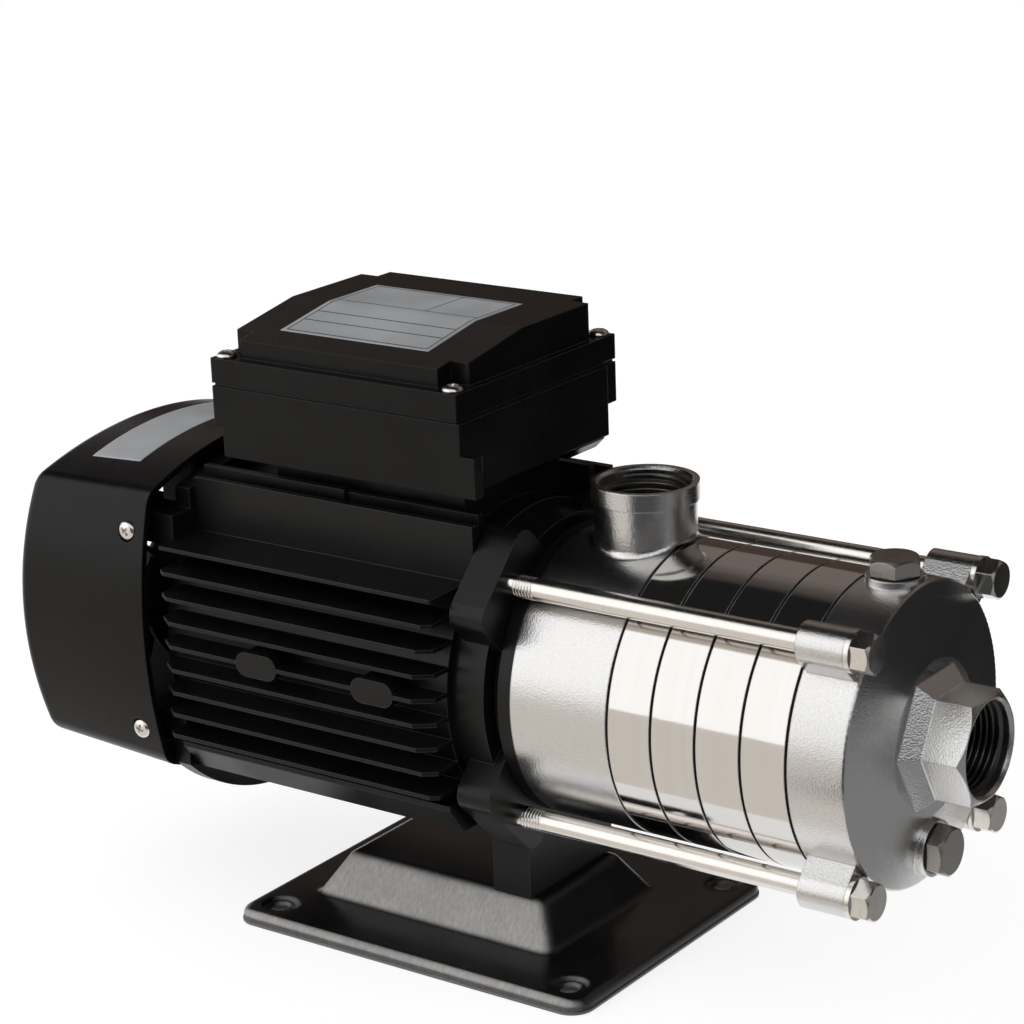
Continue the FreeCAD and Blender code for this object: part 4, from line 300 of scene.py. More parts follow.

# %% [markdown]
# The base plate is pressed from sheet and dipped. Its near slope is painted grey in short upright
# strokes, which is partly rubbed paint and partly painted sheen on the side that faces the key light.
# Its rolled rim on the same side gets a painted highlight line, and its cut edge at the floor a grey
# line that is partly lost paint and partly painted highlight. The strokes are the line group with the
# lines close together. How the surface faces keeps them to the slope, and the height above the floor
# finds the rim and the cut edge.

# %% Base plate paint
CUT_EDGE_TOP = 0.001
RIM_Y = -0.062
RIM_Z = 0.003


def base_finish():
    """Dipped black paint, grey on the near slope, the near rim and the cut edge: part wear, part
    painted sheen and highlight.
    """
    tree, sockets = start_finish("base_paint", Metallic=0.0, IOR=1.5, Specular_IOR_Level=0.38)
    skin = use_group(tree, "surface_grain", Grain_Size=0.0007, Patch_Size=0.025)
    soft = use_group(tree, "soft_edge", Radius=0.003)
    strokes = use_group(tree, "polish_lines", Spacing=0.0012, Run=0.003)["Lines"]
    facing = put(tree, "SeparateXYZ", Vector=soft["Normal"]).outputs
    lean = spread(tree, facing["Y"], 1.0, 0.0, -0.72, -0.35)
    # The near slope, on the side of the key light, turns grey: partly rubbed paint, partly painted
    # sheen.
    near_slope_sheen = calc(tree, "MULTIPLY", lean, spread(tree, facing["Z"], 0.0, 1.0, 0.15, 0.4))
    place = put(tree, "SeparateXYZ", Vector=put(tree, "TexCoord").outputs["Object"]).outputs
    # The cut edge at the floor gets a grey line: partly lost paint, partly a painted highlight.
    cut_edge_wear_and_highlight = spread(tree, place["Z"], 0.4, 0.0, CUT_EDGE_TOP - 0.0001, CUT_EDGE_TOP + 0.0001)
    # A painted highlight line along the rolled rim on the near side.
    near_rim = spread(tree, place["Y"], 1.0, 0.0, RIM_Y - 0.0008, RIM_Y + 0.0005)
    raised = spread(tree, place["Z"], 0.0, 0.9, RIM_Z - 0.0004, RIM_Z + 0.0004)
    rim_highlight = calc(tree, "MULTIPLY", near_rim, raised)
    streaky = spread(tree, strokes, 0.68, 1.0)
    mottled = calc(tree, "MULTIPLY", streaky, spread(tree, skin["Patches"], 0.85, 1.0))
    # This mask holds the painted sheen of the slope and the painted highlight of the rim, broken into
    # strokes.
    rubbed = calc(tree, "MULTIPLY", calc(tree, "MAXIMUM", near_slope_sheen, rim_highlight), mottled)
    wear_and_sheen = calc(tree, "MAXIMUM", rubbed, cut_edge_wear_and_highlight)
    body = mix_colours(tree, skin["Patches"], grey(0.004), grey(0.006))
    # The grey of the wear, the painted sheen and the painted highlights.
    feed(tree, sockets["Base Color"], mix_colours(tree, wear_and_sheen, body, grey(0.55, 0.03)))
    gloss = spread(tree, skin["Patches"], 0.18, 0.28)
    feed(tree, sockets["Roughness"], calc(tree, "ADD", gloss, calc(tree, "MULTIPLY", wear_and_sheen, 0.25)))
    feed(tree, sockets["Normal"], bumped(tree, skin["Height"], 0.00002, soft["Normal"]))


base_finish()
print("base_paint ready")

# %% [markdown]
# ## The steels
# The two end casings are cast stainless, blasted to a pearly satin: a fine grain on top of a broad
# orange peel. The stage rings between them are pressed and polished like mirrors, with faint lines
# round the shaft. Both are the same metal and nearly the same colour, so it is the roughness and
# the bumps that tell them apart.

# %% Blasted castings
def blasted_finish(slot, shade, gloss):
    """Cast metal with a blasted skin: a speckled tone that is grain and painted glints, fine bumps
    and slow waves.
    """
    tree, sockets = start_finish(slot, Metallic=1.0)
    skin = use_group(tree, "surface_grain", Grain_Size=0.0007, Patch_Size=0.03)
    peel = use_group(tree, "surface_grain", Grain_Size=0.0026, Patch_Size=0.01)
    soft = use_group(tree, "soft_edge", Radius=0.0008)
    # The speckled tone is partly the skin's own grain and partly painted glints, the sparkle of the
    # blasted surface.
    specks_and_glints = spread(tree, skin["Height"], 0.0, 1.0, 0.3, 0.7)
    body = mix_colours(tree, specks_and_glints, grey(shade * 0.96, 0.01), grey(shade * 1.05, 0.01))
    rubbed = mix_colours(tree, soft["Edge"], body, grey(shade * 1.15, 0.02))
    feed(tree, sockets["Base Color"], rubbed)
    feed(tree, sockets["Roughness"], spread(tree, skin["Patches"], *gloss))
    waves = bumped(tree, peel["Height"], 0.00002, soft["Normal"])
    feed(tree, sockets["Normal"], bumped(tree, skin["Height"], 0.0001, waves))


blasted_finish("cast_stainless", 0.64, (0.17, 0.23))
print("cast_stainless ready")

# %% [markdown]
# The rings' polish is nearly a mirror. A mirror has no look of its own: it shows the room, so most
# of its look comes from the lights and cards further down. What is left for the material is a faint
# waviness of the pressed sheet, lines too fine to see singly, and a duller line at each seam, where
# the belt couldn't reach.

# %% Polished rings
def mirror_finish(slot, shade, gloss):
    """Polished metal with faint lines, dulled where it turns an edge."""
    tree, sockets = start_finish(slot, Metallic=1.0)
    lines = use_group(tree, "polish_lines", Spacing=0.003, Run=0.12)["Lines"]
    skin = use_group(tree, "surface_grain", Grain_Size=0.02, Patch_Size=0.04)
    soft = use_group(tree, "soft_edge", Radius=0.0005)
    body = mix_colours(tree, lines, grey(shade * 0.985, 0.035), grey(shade * 1.015, 0.025))
    feed(tree, sockets["Base Color"], body)
    shine = spread(tree, calc(tree, "MULTIPLY", lines, skin["Patches"]), *gloss)
    burnish = calc(tree, "MULTIPLY", soft["Edge"], 0.6)
    feed(tree, sockets["Roughness"], calc(tree, "ADD", shine, burnish))
    waves = bumped(tree, skin["Height"], 0.00006, soft["Normal"])
    feed(tree, sockets["Normal"], bumped(tree, lines, 0.0000006, waves))


mirror_finish("polished_stainless", 0.66, (0.07, 0.12))
print("polished_stainless ready")

# %% [markdown]
# Bolts, plugs and the parts inside are turned or pressed. They differ only in their metal and in
# how bright they were left, so one function makes them all from a table: a metal colour, faint tool
# lines, and a roughness between the two ends of its gloss.

# %% Turned and pressed metals
def turned_finish(slot, shade, gloss, edge=0.0004):
    """Machined metal of the given colour."""
    tree, sockets = start_finish(slot, Metallic=1.0)
    lines = use_group(tree, "polish_lines", Spacing=0.0005, Run=0.004)["Lines"]
    skin = use_group(tree, "surface_grain", Grain_Size=0.0006, Patch_Size=0.012)
    soft = use_group(tree, "soft_edge", Radius=edge)
    darker = tuple(channel * 0.88 for channel in shade)
    body = mix_colours(tree, lines, (*darker, 1.0), (*shade, 1.0))
    feed(tree, sockets["Base Color"], mix_colours(tree, skin["Patches"], body, (*shade, 1.0)))
    feed(tree, sockets["Roughness"], spread(tree, skin["Patches"], *gloss))
    feed(tree, sockets["Normal"], bumped(tree, skin["Height"], 0.000012, soft["Normal"]))


METALS = {
    "bolt_steel": ((0.77, 0.74, 0.7), (0.16, 0.26)),
    "plug_metal": ((0.4, 0.385, 0.36), (0.22, 0.34)),
    "pressed_stainless": ((0.66, 0.65, 0.63), (0.2, 0.3)),
    "seal_steel": ((0.6, 0.6, 0.58), (0.25, 0.35)),
    "bearing_steel": ((0.56, 0.56, 0.57), (0.12, 0.2)),
    "shaft_steel": ((0.6, 0.6, 0.6), (0.18, 0.28)),
    "cage_aluminium": ((0.75, 0.75, 0.76), (0.35, 0.45)),
    "terminal_brass": ((0.78, 0.6, 0.3), (0.2, 0.3)),
    "capacitor_can": ((0.75, 0.75, 0.75), (0.25, 0.35)),
}
for slot, (shade, gloss) in METALS.items():
    turned_finish(slot, shade, gloss)
print("metals:", len(METALS))

# %% [markdown]
# Some finishes inside the motor and the seal need their own pattern. The laminated core shows the
# edge of every steel sheet and the windings show wires side by side. Modelling hundreds of sheets
# and wires would cost much for parts that are seldom seen, so a wave texture draws them. The seal
# seat and the terminal block are pale, hard and almost plain.

# %% Inner finishes
def sheet_stack_finish():
    """Steel sheets half a millimetre thick, seen edge on."""
    tree, sockets = start_finish("lamination", Metallic=1.0)
    skin = use_group(tree, "surface_grain", Grain_Size=0.0006, Patch_Size=0.02)
    wave = put(tree, "TexWave", {"bands_direction": "X"}, Scale=320.0, Distortion=0.4)
    stack = wave.outputs["Fac"]
    feed(tree, sockets["Base Color"], mix_colours(tree, stack, grey(0.2), grey(0.38)))
    feed(tree, sockets["Roughness"], spread(tree, skin["Patches"], 0.4, 0.55))
    feed(tree, sockets["Normal"], bumped(tree, stack, 0.00005))


def winding_finish():
    """Lacquered copper wires laid side by side."""
    tree, sockets = start_finish("copper_wire", Metallic=1.0)
    wave = put(tree, "TexWave", {"bands_direction": "DIAGONAL"}, Scale=260.0, Distortion=1.5)
    wires = wave.outputs["Fac"]
    dark, bright = (0.3, 0.1, 0.04, 1.0), (0.75, 0.34, 0.16, 1.0)
    feed(tree, sockets["Base Color"], mix_colours(tree, wires, dark, bright))
    feed(tree, sockets["Roughness"], spread(tree, wires, 0.45, 0.25))
    feed(tree, sockets["Normal"], bumped(tree, wires, 0.0002))


def pale_finish(slot, colour, gloss):
    """A hard pale material with a slight mottle."""
    tree, sockets = start_finish(slot, Metallic=0.0)
    skin = use_group(tree, "surface_grain", Grain_Size=0.0004, Patch_Size=0.01)
    soft = use_group(tree, "soft_edge", Radius=0.0004)
    darker = tuple(channel * 0.9 for channel in colour)
    body = mix_colours(tree, skin["Patches"], (*darker, 1.0), (*colour, 1.0))
    feed(tree, sockets["Base Color"], body)
    feed(tree, sockets["Roughness"], spread(tree, skin["Patches"], *gloss))
    feed(tree, sockets["Normal"], bumped(tree, skin["Height"], 0.00001, soft["Normal"]))


sheet_stack_finish()
winding_finish()
pale_finish("seal_ceramic", (0.8, 0.78, 0.72), (0.15, 0.25))
pale_finish("terminal_plastic", (0.66, 0.63, 0.57), (0.35, 0.45))
print("finishes:", len(finishes))

# %% [markdown]
# ## Dress the CAD nodes
# Each node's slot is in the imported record, so the finish is looked up by slot and put on the node's
# own mesh. The shapes are never touched.

# %% Give each node its finish
for name, node in nodes.items():
    node.data.materials.clear()
    node.data.materials.append(finishes[slot_of_node[name]])
print("dressed:", len(nodes))

# %% [markdown]
# ## New pieces
# Every piece that is added has to ride on the part of the pump that it belongs to, so that it moves
# with it, and it takes its finish from a slot. One helper sees to both. The other shades a mesh
# smooth but keeps its sharp edges, which lets a coarse mesh look round.

# %% Add a piece
def shade_by_angle(mesh, degrees):
    """Smooth shading that keeps edges sharper than the angle."""
    work = bmesh.new()
    work.from_mesh(mesh)
    bmesh.ops.recalc_face_normals(work, faces=work.faces)
    work.to_mesh(mesh)
    work.free()
    mesh.shade_smooth()
    mesh.set_sharp_from_angle(angle=math.radians(degrees))


def add_piece(name, mesh, body, slot):
    """A new object that rides on a body and takes its finish from a slot."""
    piece = bpy.data.objects.new(name, mesh)
    bpy.context.scene.collection.objects.link(piece)
    if not mesh.materials:
        mesh.materials.append(finishes[slot])
    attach(piece, body)
    return piece


print("piece helpers ready")

# %% [markdown]
# ## Threads
# A pipe thread is one ridge that winds along the bore. The Screw modifier could make it, but not
# with its run-out, so it is built as a strip: at each small turn a little profile of four points is
# set down, and neighbours are joined by faces. The ridge fades to nothing at both ends, as a cut
# thread runs out.

# %% A helical ridge
def frame_along(axis):
    """Two directions square to the axis and to each other."""
    side = axis.orthogonal().normalized()
    return side, axis.cross(side)


def thread_ridge(name, start, axis, length, pitch, root, crest, body, slot, skins, steps=40):
    """A ridge from radius root to radius crest. skins are its flanks' and its crest's materials."""
    axis = Vector(axis).normalized()
    side, other = frame_along(axis)
    flank, flat = pitch * 0.46, pitch * 0.08
    turns = length / pitch
    count = int(turns * steps)
    mesh = bpy.data.meshes.new(name)
    points, faces = [], []
    for k in range(count + 1):
        angle = 2 * math.pi * k / steps
        fade = min(1.0, k / (steps * 0.5), (count - k) / (steps * 0.5))
        tip = root + (crest - root) * max(fade, 0.02)
        out = side * math.cos(angle) + other * math.sin(angle)
        middle = Vector(start) + axis * (length * k / count)
        for radius, along in ((root, -flank), (tip, -flat), (tip, flat), (root, flank)):
            points.append(middle + out * radius + axis * along)
    for k in range(count):
        for edge in range(4):
            a, b = 4 * k + edge, 4 * k + (edge + 1) % 4
            faces.append((a, b, b + 4, a + 4))
    faces.append((3, 2, 1, 0))
    faces.append(tuple(4 * count + edge for edge in range(4)))
    mesh.from_pydata(points, [], faces)
    mesh.validate()
    shade_by_angle(mesh, 35)
    for skin in skins:
        mesh.materials.append(skin)
    for face in mesh.polygons[:4 * count]:
        face.material_index = int(face.index % 4 == 1)
    return add_piece(name, mesh, body, slot)


print("ridge helper ready")

# %% [markdown]
# Both ports have the same pipe thread, 11 turns to the inch. In a bore the flanks lie in shadow and
# only the crests shine, and a strip so thin can't show that by light alone, so the flanks get a dark
# metal that paints their shade and the crests a pale one that paints their highlight. The place, axis
# and size of each port are read from the record's mounts.
# The tie bolts show the last turns of their thread where they enter the bracket.

# %% Threads in the ports and on the tie bolts
PIPE_PITCH = 2.309 * MM
PIPE_DEPTH = 1.48 * MM
PORT_CHAMFER = 1.2 * MM
ROOT_GAP = 0.05 * MM

# Painted shade on the thread flanks and a painted highlight on the crests.
turned_finish("bore_flank_painted_shade", (0.13, 0.125, 0.12), (0.3, 0.4))
turned_finish("bore_crest_painted_highlight", (0.5, 0.49, 0.48), (0.25, 0.35))
bore_shade_and_highlight_skins = (finishes["bore_flank_painted_shade"], finishes["bore_crest_painted_highlight"])
for port in ("suction", "discharge"):
    mount = mounts[port + "_port"]
    axis = Vector(mount["axis"])
    length = mount["dims"]["length_mm"] * MM
    bore = mount["dims"]["r_mm"] * MM
    start = Vector(mount["pos_m"]) - axis * (length / 2)
    thread_ridge(port + "_thread", start, axis, length - 2 * PORT_CHAMFER, PIPE_PITCH,
                 bore + ROOT_GAP, bore - PIPE_DEPTH, "frame", "cast_stainless", bore_shade_and_highlight_skins)

ROD_PITCH = 1.25 * MM
ROD_ROOT = 3.9 * MM
ROD_CREST = 4.175 * MM
ROD_THREAD = 9 * MM
ROD_SUNK = 2 * MM
ROD_OFFSET = 44.2 * MM
bolt_low, bolt_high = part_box("tie_bolts")
bracket_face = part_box("bracket")[1].x
shaft_height = (bolt_low.z + bolt_high.z) / 2
rod_skins = (finishes["bolt_steel"], finishes["bolt_steel"])
for row, rise in (("top", 1), ("bottom", -1)):
    for column, out in (("near", -1), ("far", 1)):
        start = (bracket_face - ROD_SUNK, out * ROD_OFFSET, shaft_height + rise * ROD_OFFSET)
        thread_ridge(f"tie_bolt_thread_{row}_{column}", start, (1, 0, 0), ROD_THREAD, ROD_PITCH,
                     ROD_ROOT, ROD_CREST, "frame", "bolt_steel", rod_skins, steps=24)
print("threads: 6")

# %% [markdown]
# ## Cross-recess screws
# The lid and the fan cowl are held by pan-head screws. CAD has them with plain heads, and these
# stand in for them. A screw is round, so half its outline is drawn once and spun about its axis.

# %% A round blank
HEAD_HEIGHT = 2.4 * MM
HEAD_RADIUS = 3.9 * MM
SCREW_RADIUS = 2.0 * MM
COWL_SCREW_LENGTH = 6 * MM


def spun_mesh(name, profile, segments=40):
    """A closed solid from (radius, height) points spun about Z."""
    work = bmesh.new()
    ring = [work.verts.new((radius, 0.0, height)) for radius, height in profile]
    edges = [work.edges.new(pair) for pair in zip(ring, ring[1:])]
    bmesh.ops.spin(work, geom=ring + edges, cent=(0, 0, 0), axis=(0, 0, 1),
                   angle=2 * math.pi, steps=segments, use_merge=True)
    bmesh.ops.remove_doubles(work, verts=work.verts, dist=0.000001)
    bmesh.ops.recalc_face_normals(work, faces=work.faces)
    mesh = bpy.data.meshes.new(name)
    work.to_mesh(mesh)
    work.free()
    return mesh


def head_profile(length):
    """Half a section of a pan head with its shank."""
    dome = [(HEAD_RADIUS * math.sin(a), HEAD_HEIGHT * math.cos(a) ** 0.7)
            for a in (math.radians(10 * k) for k in range(9))]
    dome[0] = (0.0, HEAD_HEIGHT)
    return dome + [(HEAD_RADIUS, 0.25 * HEAD_HEIGHT), (HEAD_RADIUS * 0.96, 0.0),
                   (SCREW_RADIUS, 0.0), (SCREW_RADIUS, -length), (0.0, -length)]


print("screw blank ready")

# %% [markdown]
# The cross could be painted on, but a real one is deep and dark, so it is cut with a tapered cutter
# and a boolean, much as the heading tool punches it. This is safe here, because the blank is a
# piece of our own and not a CAD node.

# %% A cross recess
def cross_cutter(top):
    """Two crossed wedges, narrower at their foot."""
    work = bmesh.new()
    levels = ((top, 2.3 * MM, 0.55 * MM), (top - 2.0 * MM, 1.0 * MM, 0.35 * MM))
    for turn in (0, math.pi / 2):
        corners = []
        for height, reach, half in levels:
            for x, y in ((-reach, -half), (reach, -half), (reach, half), (-reach, half)):
                place = Matrix.Rotation(turn, 3, "Z") @ Vector((x, y, height))
                corners.append(work.verts.new(place))
        low, high = corners[4:], corners[:4]
        work.faces.new(high)
        work.faces.new(low[::-1])
        for k in range(4):
            work.faces.new((low[k], low[(k + 1) % 4], high[(k + 1) % 4], high[k]))
    bmesh.ops.recalc_face_normals(work, faces=work.faces)
    mesh = bpy.data.meshes.new("cross_cutter")
    work.to_mesh(mesh)
    work.free()
    return mesh


def cut_away(mesh, cutter_mesh):
    """The mesh with the cutter's shape taken out."""
    scene = bpy.context.scene
    block = bpy.data.objects.new("block", mesh)
    cutter = bpy.data.objects.new("cutter", cutter_mesh)
    for thing in (block, cutter):
        scene.collection.objects.link(thing)
    boolean = block.modifiers.new("cut", "BOOLEAN")
    boolean.operation = "DIFFERENCE"
    boolean.object = cutter
    boolean.solver = "EXACT"
    boolean.use_self = True
    depsgraph = bpy.context.evaluated_depsgraph_get()
    result = bpy.data.meshes.new_from_object(block.evaluated_get(depsgraph))
    for thing in (block, cutter):
        bpy.data.objects.remove(thing)
    return result


def cross_screw(length):
    """A pan-head screw with a cross recess, its head's seat at the origin."""
    blank = spun_mesh("screw_blank", head_profile(length))
    return cut_away(blank, cross_cutter(HEAD_HEIGHT + 0.3 * MM))


print("cross recess ready")

# %% [markdown]
# The same screw is copied to the eight places where CAD has them, each turned a little differently,
# as a fitter leaves them. The four of a group are one piece, because they stand for one CAD node.

# %% Eight screws in two groups
def screw_group(node, places, length):
    """Screws at (seat point, outward direction, turn) that stand for a CAD node."""
    single = cross_screw(length)
    work = bmesh.new()
    for seat, outward, turn in places:
        copy = single.copy()
        aim = Vector(outward).to_track_quat("Z", "Y").to_matrix().to_4x4()
        copy.transform(Matrix.Translation(seat) @ aim @ Matrix.Rotation(turn, 4, "Z"))
        work.from_mesh(copy)
        bpy.data.meshes.remove(copy)
    mesh = bpy.data.meshes.new(node + "_recessed")
    work.to_mesh(mesh)
    work.free()
    shade_by_angle(mesh, 32)
    piece = add_piece(node + "_recessed", mesh, "frame", "bolt_steel")
    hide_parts(node)
    return piece


low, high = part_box("lid_screws")
lid_places = []
for x in (low.x + HEAD_RADIUS, high.x - HEAD_RADIUS):
    for y in (low.y + HEAD_RADIUS, high.y - HEAD_RADIUS):
        lid_places.append((Vector((x, y, high.z - HEAD_HEIGHT)), (0, 0, 1), 0.5 + 20 * x + 9 * y))
screw_group("lid_screws", lid_places, high.z - HEAD_HEIGHT - low.z)

low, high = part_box("fan_cover_screws")
cowl_places = []
for y, outward in ((low.y + HEAD_HEIGHT, -1), (high.y - HEAD_HEIGHT, 1)):
    for z in (low.z + HEAD_RADIUS, high.z - HEAD_RADIUS):
        cowl_places.append((Vector(((low.x + high.x) / 2, y, z)), (0, outward, 0), 0.4 + 13 * z))
screw_group("fan_cover_screws", cowl_places, COWL_SCREW_LENGTH)
print("screws:", len(lid_places) + len(cowl_places))

# %% [markdown]
# ## Plain labels
# A silver label lies on the lid, bent over its crease, and a narrow one on the crown of the fan
# cowl. The one on the lid has only ruled lines and the other is bare. The lines are drawn by
# comparing the label's own UV coordinates with a few shares of its width and height, so no picture
# is needed.

# %% Label material
def label_finish(name, rules_u, rules_v, line):
    """Matt foil. Each rule is its place and its two ends, as shares of the width and the height."""
    material = bpy.data.materials.new(name)
    material.use_nodes = True
    tree = material.node_tree
    sockets = tree.nodes["Principled BSDF"].inputs
    uv = put(tree, "SeparateXYZ", Vector=put(tree, "TexCoord").outputs["UV"]).outputs
    skin = use_group(tree, "surface_grain", Grain_Size=0.0004, Patch_Size=0.02)
    ink = 0.0
    for axis, rules, width in (("X", rules_u, line[0]), ("Y", rules_v, line[1])):
        for place, start, end in rules:
            across, along = (uv["X"], uv["Y"]) if axis == "X" else (uv["Y"], uv["X"])
            near = calc(tree, "COMPARE", across, place, width)
            inside = calc(tree, "COMPARE", along, (start + end) / 2, (end - start) / 2)
            ink = calc(tree, "MAXIMUM", ink, calc(tree, "MULTIPLY", near, inside))
    foil = mix_colours(tree, skin["Patches"], grey(0.38, -0.04), grey(0.44, -0.04))
    feed(tree, sockets["Base Color"], mix_colours(tree, ink, foil, grey(0.05)))
    feed(tree, sockets["Roughness"], spread(tree, skin["Patches"], 0.38, 0.5))
    sockets["Metallic"].default_value = 0.1
    return material


print("label finish ready")

# %% [markdown]
# Foil is laid on flat and pressed down until it follows what is under it. In the same way each
# label is a grid of points dropped straight down onto its carrier, and a thin Solidify gives it its
# thickness. A flat plane would cut into the crease of the lid or hang above it.

# %% Lay a label on its carrier
LABEL_LIFT = 0.1 * MM


def lay_label(name, carrier, corners, material, columns=34, rows=34):
    """A thin sheet over the rectangle (x0, y0, x1, y1), in mm from above, resting on a node."""
    x0, y0, x1, y1 = (corner * MM for corner in corners)
    surface = BVHTree.FromPolygons([v.co for v in nodes[carrier].data.vertices],
                                   [p.vertices for p in nodes[carrier].data.polygons])
    mesh = bpy.data.meshes.new(name)
    points, faces = [], []
    for j in range(rows + 1):
        for i in range(columns + 1):
            above = Vector((x0 + (x1 - x0) * i / columns, y0 + (y1 - y0) * j / rows, 1.0))
            hit = surface.ray_cast(above, Vector((0, 0, -1)))[0]
            points.append(hit + Vector((0, 0, LABEL_LIFT)))
    for j in range(rows):
        for i in range(columns):
            a = j * (columns + 1) + i
            faces.append((a, a + 1, a + columns + 2, a + columns + 1))
    mesh.from_pydata(points, [], faces)
    layer = mesh.uv_layers.new(name="label")
    for loop in mesh.loops:
        row, column = divmod(loop.vertex_index, columns + 1)
        layer.data[loop.index].uv = (column / columns, row / rows)
    mesh.shade_smooth()
    mesh.materials.append(material)
    piece = add_piece(name, mesh, "frame", slot_of_node[carrier])
    solid = piece.modifiers.new("sheet", "SOLIDIFY")
    solid.thickness = LABEL_LIFT * 0.9
    solid.offset = -1
    return piece


BORDER = 0.03
full = (BORDER, 1 - BORDER)
lid_rules_v = [(BORDER, *full), (0.2, *full), (0.34, *full), (0.56, *full), (1 - BORDER, *full)]
lid_rules_u = [(BORDER, *full), (0.62, 0.56, 1 - BORDER), (1 - BORDER, *full)]
lid_label = label_finish("lid_label_foil", lid_rules_u, lid_rules_v, (0.004, 0.005))
lay_label("lid_label", "terminal_box_lid", (-66.5, -33.5, 2.2, 25), lid_label)
cowl_label = label_finish("cowl_label_foil", [], [], (0.004, 0.004))
lay_label("cowl_label", "fan_cover", (-155.5, -45.5, -130.5, 27), cowl_label)
print("labels: 2")

# %% [markdown]
# ## Floor and world
# The pump stands on a wide pale floor. The floor is lit like anything else, so it keeps the shadow,
# and it gives off a little light of its own to the camera and to reflections, so that it reads as
# white. Raising the lamps until it turns white would burn out the metal. The world is white where
# it is seen and weaker where it lights, for the same reason.

# %% Floor and world
FLOOR_HALF = 12.0
FLOOR_LEVEL = -0.0002
FLOOR_GLOW = 0.76
WORLD_FILL = 0.6
WORLD_VIEW = 1.0


def seen_directly(tree):
    """1 for camera, glossy and transmission rays, and 0 for the rest."""
    path = put(tree, "LightPath").outputs
    either = calc(tree, "MAXIMUM", path["Is Camera Ray"], path["Is Glossy Ray"])
    return calc(tree, "MAXIMUM", either, path["Is Transmission Ray"])


def make_floor():
    """A wide matt sheet under the pump that gives off a little light where it is seen."""
    mesh = bpy.data.meshes.new("floor")
    corners = [(x * FLOOR_HALF, y * FLOOR_HALF, FLOOR_LEVEL)
               for x, y in ((-1, -1), (1, -1), (1, 1), (-1, 1))]
    mesh.from_pydata(corners, [], [(0, 1, 2, 3)])
    floor = bpy.data.objects.new("floor", mesh)
    bpy.context.scene.collection.objects.link(floor)
    material = bpy.data.materials.new("pale_floor")
    material.use_nodes = True
    tree = material.node_tree
    tree.nodes.remove(tree.nodes["Principled BSDF"])
    matt = put(tree, "BsdfDiffuse", Color=grey(0.4)).outputs[0]
    glow_level = calc(tree, "MULTIPLY", seen_directly(tree), FLOOR_GLOW)
    glow = put(tree, "Emission", Color=grey(1.0), Strength=glow_level).outputs[0]
    both = put(tree, "AddShader")
    tree.links.new(matt, both.inputs[0])
    tree.links.new(glow, both.inputs[1])
    tree.links.new(both.outputs[0], tree.nodes["Material Output"].inputs["Surface"])
    mesh.materials.append(material)


def make_world():
    """A white room to look at that lights the pump more weakly."""
    world = bpy.data.worlds.new("soft_room")
    bpy.context.scene.world = world
    world.use_nodes = True
    tree = world.node_tree
    level = spread(tree, seen_directly(tree), WORLD_FILL, WORLD_VIEW)
    tree.links.new(level, tree.nodes["Background"].inputs["Strength"])
    tree.nodes["Background"].inputs["Color"].default_value = grey(1.0)


make_floor()
make_world()
print("floor and world ready")

# %% [markdown]
# ## Cards
# Polished metal shows whatever stands round it, so a photographer sets up dark and grey cards out
# of the picture. The cards here are seen only by glossy rays: they shape the reflections and
# neither shade the pump nor show behind it. The ceiling drifts cloudily from one tone to another,
# because an even card makes metal look like plastic.

# %% Card makers
CEILING = 1.3


def card(name, corners, colour, beyond=None, fade=None):
    """A flat card that only glossy rays see. Along Y it may turn cloudily into a second colour."""
    mesh = bpy.data.meshes.new(name)
    mesh.from_pydata(corners, [], [(0, 1, 2, 3)])
    material = bpy.data.materials.new(name)
    material.use_nodes = True
    tree = material.node_tree
    tree.nodes.remove(tree.nodes["Principled BSDF"])
    if beyond is not None:
        place = put(tree, "TexCoord").outputs["Object"]
        cloud = put(tree, "TexNoise", Vector=place, Scale=1.6, Detail=3.0).outputs["Fac"]
        along = calc(tree, "ADD", put(tree, "SeparateXYZ", Vector=place).outputs["Y"], cloud)
        colour = mix_colours(tree, spread(tree, along, 0.0, 1.0, *fade), colour, beyond)
    shown = put(tree, "Emission", Color=colour, Strength=1.0).outputs[0]
    tree.links.new(shown, tree.nodes["Material Output"].inputs["Surface"])
    mesh.materials.append(material)
    flag = bpy.data.objects.new(name, mesh)
    bpy.context.scene.collection.objects.link(flag)
    for kind in ("camera", "diffuse", "transmission", "volume_scatter", "shadow"):
        setattr(flag, "visible_" + kind, False)


def level_card(name, x0, x1, y0, y1, z, *colours):
    """A level card. colours are those of card()."""
    card(name, [(x0, y0, z), (x1, y0, z), (x1, y1, z), (x0, y1, z)], *colours)


def wall_card(name, start, end, colour):
    """An upright card from the floor to the ceiling, over the line between two points."""
    card(name, [(*start, 0), (*end, 0), (*end, CEILING), (*start, CEILING)], colour)


print("card makers ready")

# %% [markdown]
# The dark ceiling gives the rings their dark upper half, and the taupe table their warm lower one.
# The walls and the table's right half are what the end face sees, in steps from dark to grey.

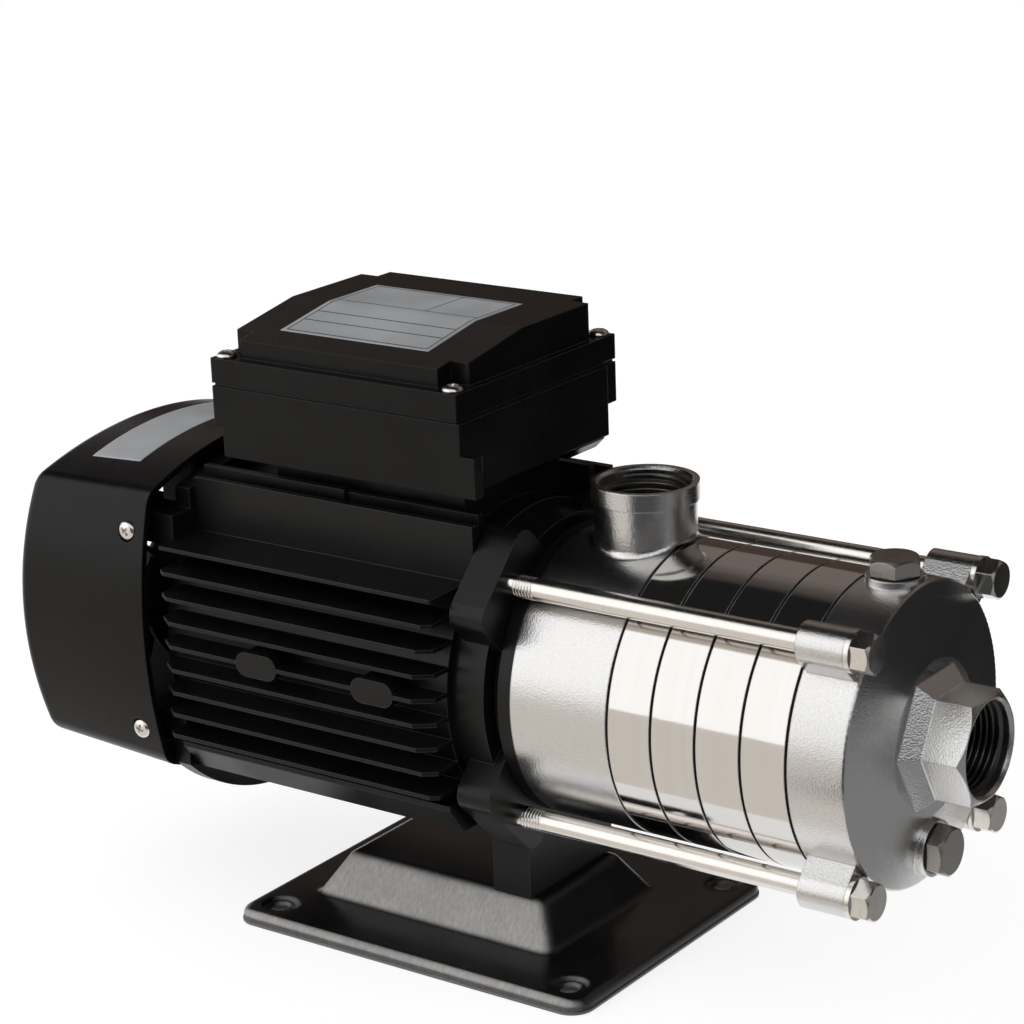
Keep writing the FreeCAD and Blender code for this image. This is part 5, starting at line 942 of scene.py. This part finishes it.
# %% Set up the cards
BROWN = (0.07, 0.05, 0.04, 1.0)
MILKY = (0.2, 0.17, 0.155, 1.0)
TAUPE = (0.78, 0.735, 0.68, 1.0)
TABLE = 0.0005
level_card("ceiling", -3.0, 3.0, -0.42, 2.6, CEILING, grey(0.015), MILKY, (0.95, 1.5))
wall_card("brown_wall", (-3.0, 2.6), (0.4, 2.6), BROWN)
wall_card("grey_wall", (0.4, 2.6), (3.0, 2.0), grey(0.05))
wall_card("dark_wall", (3.0, 2.0), (3.0, 0.3), grey(0.04))
wall_card("window_wall", (3.0, 0.3), (2.6, -1.0), grey(0.3, -0.06))
wall_card("right_wall", (2.6, -1.0), (0.3, -2.6), grey(0.06, -0.04))
level_card("table_near", -2.5, 0.07, -2.5, -0.09, TABLE, TAUPE)
level_card("table_corner", 0.07, 0.2, -0.2, -0.09, TABLE, TAUPE)
level_card("table_right", 0.07, 2.5, -2.5, -0.2, TABLE, grey(0.08, -0.04))
level_card("table_end", 0.22, 3.0, -0.2, 0.27, TABLE, grey(0.27))
level_card("table_far", 0.1, 3.0, 0.27, 2.6, TABLE, grey(0.02))
print("cards ready")

# %% [markdown]
# ## Lights
# One large softbox stands at the left front with its foot at table height. Its lower rim is the
# sharp line along the rings. Its power is set from its brightness and area, so that a larger box
# stays as bright to look at. A reflected ray passes through a lamp and goes on to what is behind,
# so each box has a card at its back, or the white room would add its own light and the metal would
# burn out. A weak box at the right opens up the end face.

# %% Softboxes
heart = Vector((0.05, 0.0, shaft_height))


def direction(azimuth, elevation):
    """A unit vector. Azimuth 0 points to -Y and 90 to +X, in degrees."""
    a, e = math.radians(azimuth), math.radians(elevation)
    return Vector((math.sin(a) * math.cos(e), -math.cos(a) * math.cos(e), math.sin(e)))


def softbox(name, azimuth, elevation, distance, width, height, brightness, backing):
    """A lamp that faces the pump, and a card behind it. Both are as bright as given: white is 1."""
    lamp = bpy.data.lights.new(name, "AREA")
    lamp.shape = "RECTANGLE"
    lamp.size, lamp.size_y = width, height
    lamp.energy = math.pi * width * height * brightness
    holder = bpy.data.objects.new(name, lamp)
    bpy.context.scene.collection.objects.link(holder)
    away = direction(azimuth, elevation)
    holder.location = heart + away * distance
    holder.rotation_mode = "QUATERNION"
    holder.rotation_quaternion = away.to_track_quat("Z", "Y")
    holder.visible_camera = False
    turn = holder.rotation_quaternion.to_matrix()
    corners = [holder.location + turn @ Vector((x * width / 2, y * height / 2, 0.01))
               for x, y in ((-1, -1), (1, -1), (1, 1), (-1, 1))]
    card(name + "_back", corners, grey(backing))


softbox("key_box", -47, 23, 1.25, 1.25, 1.25, 1.36, 0.05)
softbox("side_box", 60, 35, 1.6, 0.5, 0.7, 0.2, 0.9)
print("softboxes: 2")

# %% [markdown]
# ## Camera
# The camera stands where the photograph was taken: to the right of the pump and a little above it,
# some 1.2 m away, with a long lens that flattens the perspective, and turned by two degrees.

# %% Camera
VIEW_AZIMUTH = 36.266
VIEW_ELEVATION = 17.205
VIEW_ROLL = -2.139
CAMERA_PLACE = (0.65465, -0.87598, 0.49795)
LENS = 108.12

camera_data = bpy.data.cameras.new("camera")
camera_data.lens = LENS
camera_data.sensor_width = 36.0
camera = bpy.data.objects.new("camera", camera_data)
bpy.context.scene.collection.objects.link(camera)
looks_back = direction(VIEW_AZIMUTH, VIEW_ELEVATION)
upright = looks_back.to_track_quat("Z", "Y").to_matrix().to_4x4()
camera.matrix_world = (Matrix.Translation(CAMERA_PLACE) @ upright
                       @ Matrix.Rotation(math.radians(VIEW_ROLL), 4, "Z"))
bpy.context.scene.camera = camera
bpy.context.scene.view_settings.view_transform = "Standard"
print("camera at", [round(v, 3) for v in camera.matrix_world.translation])
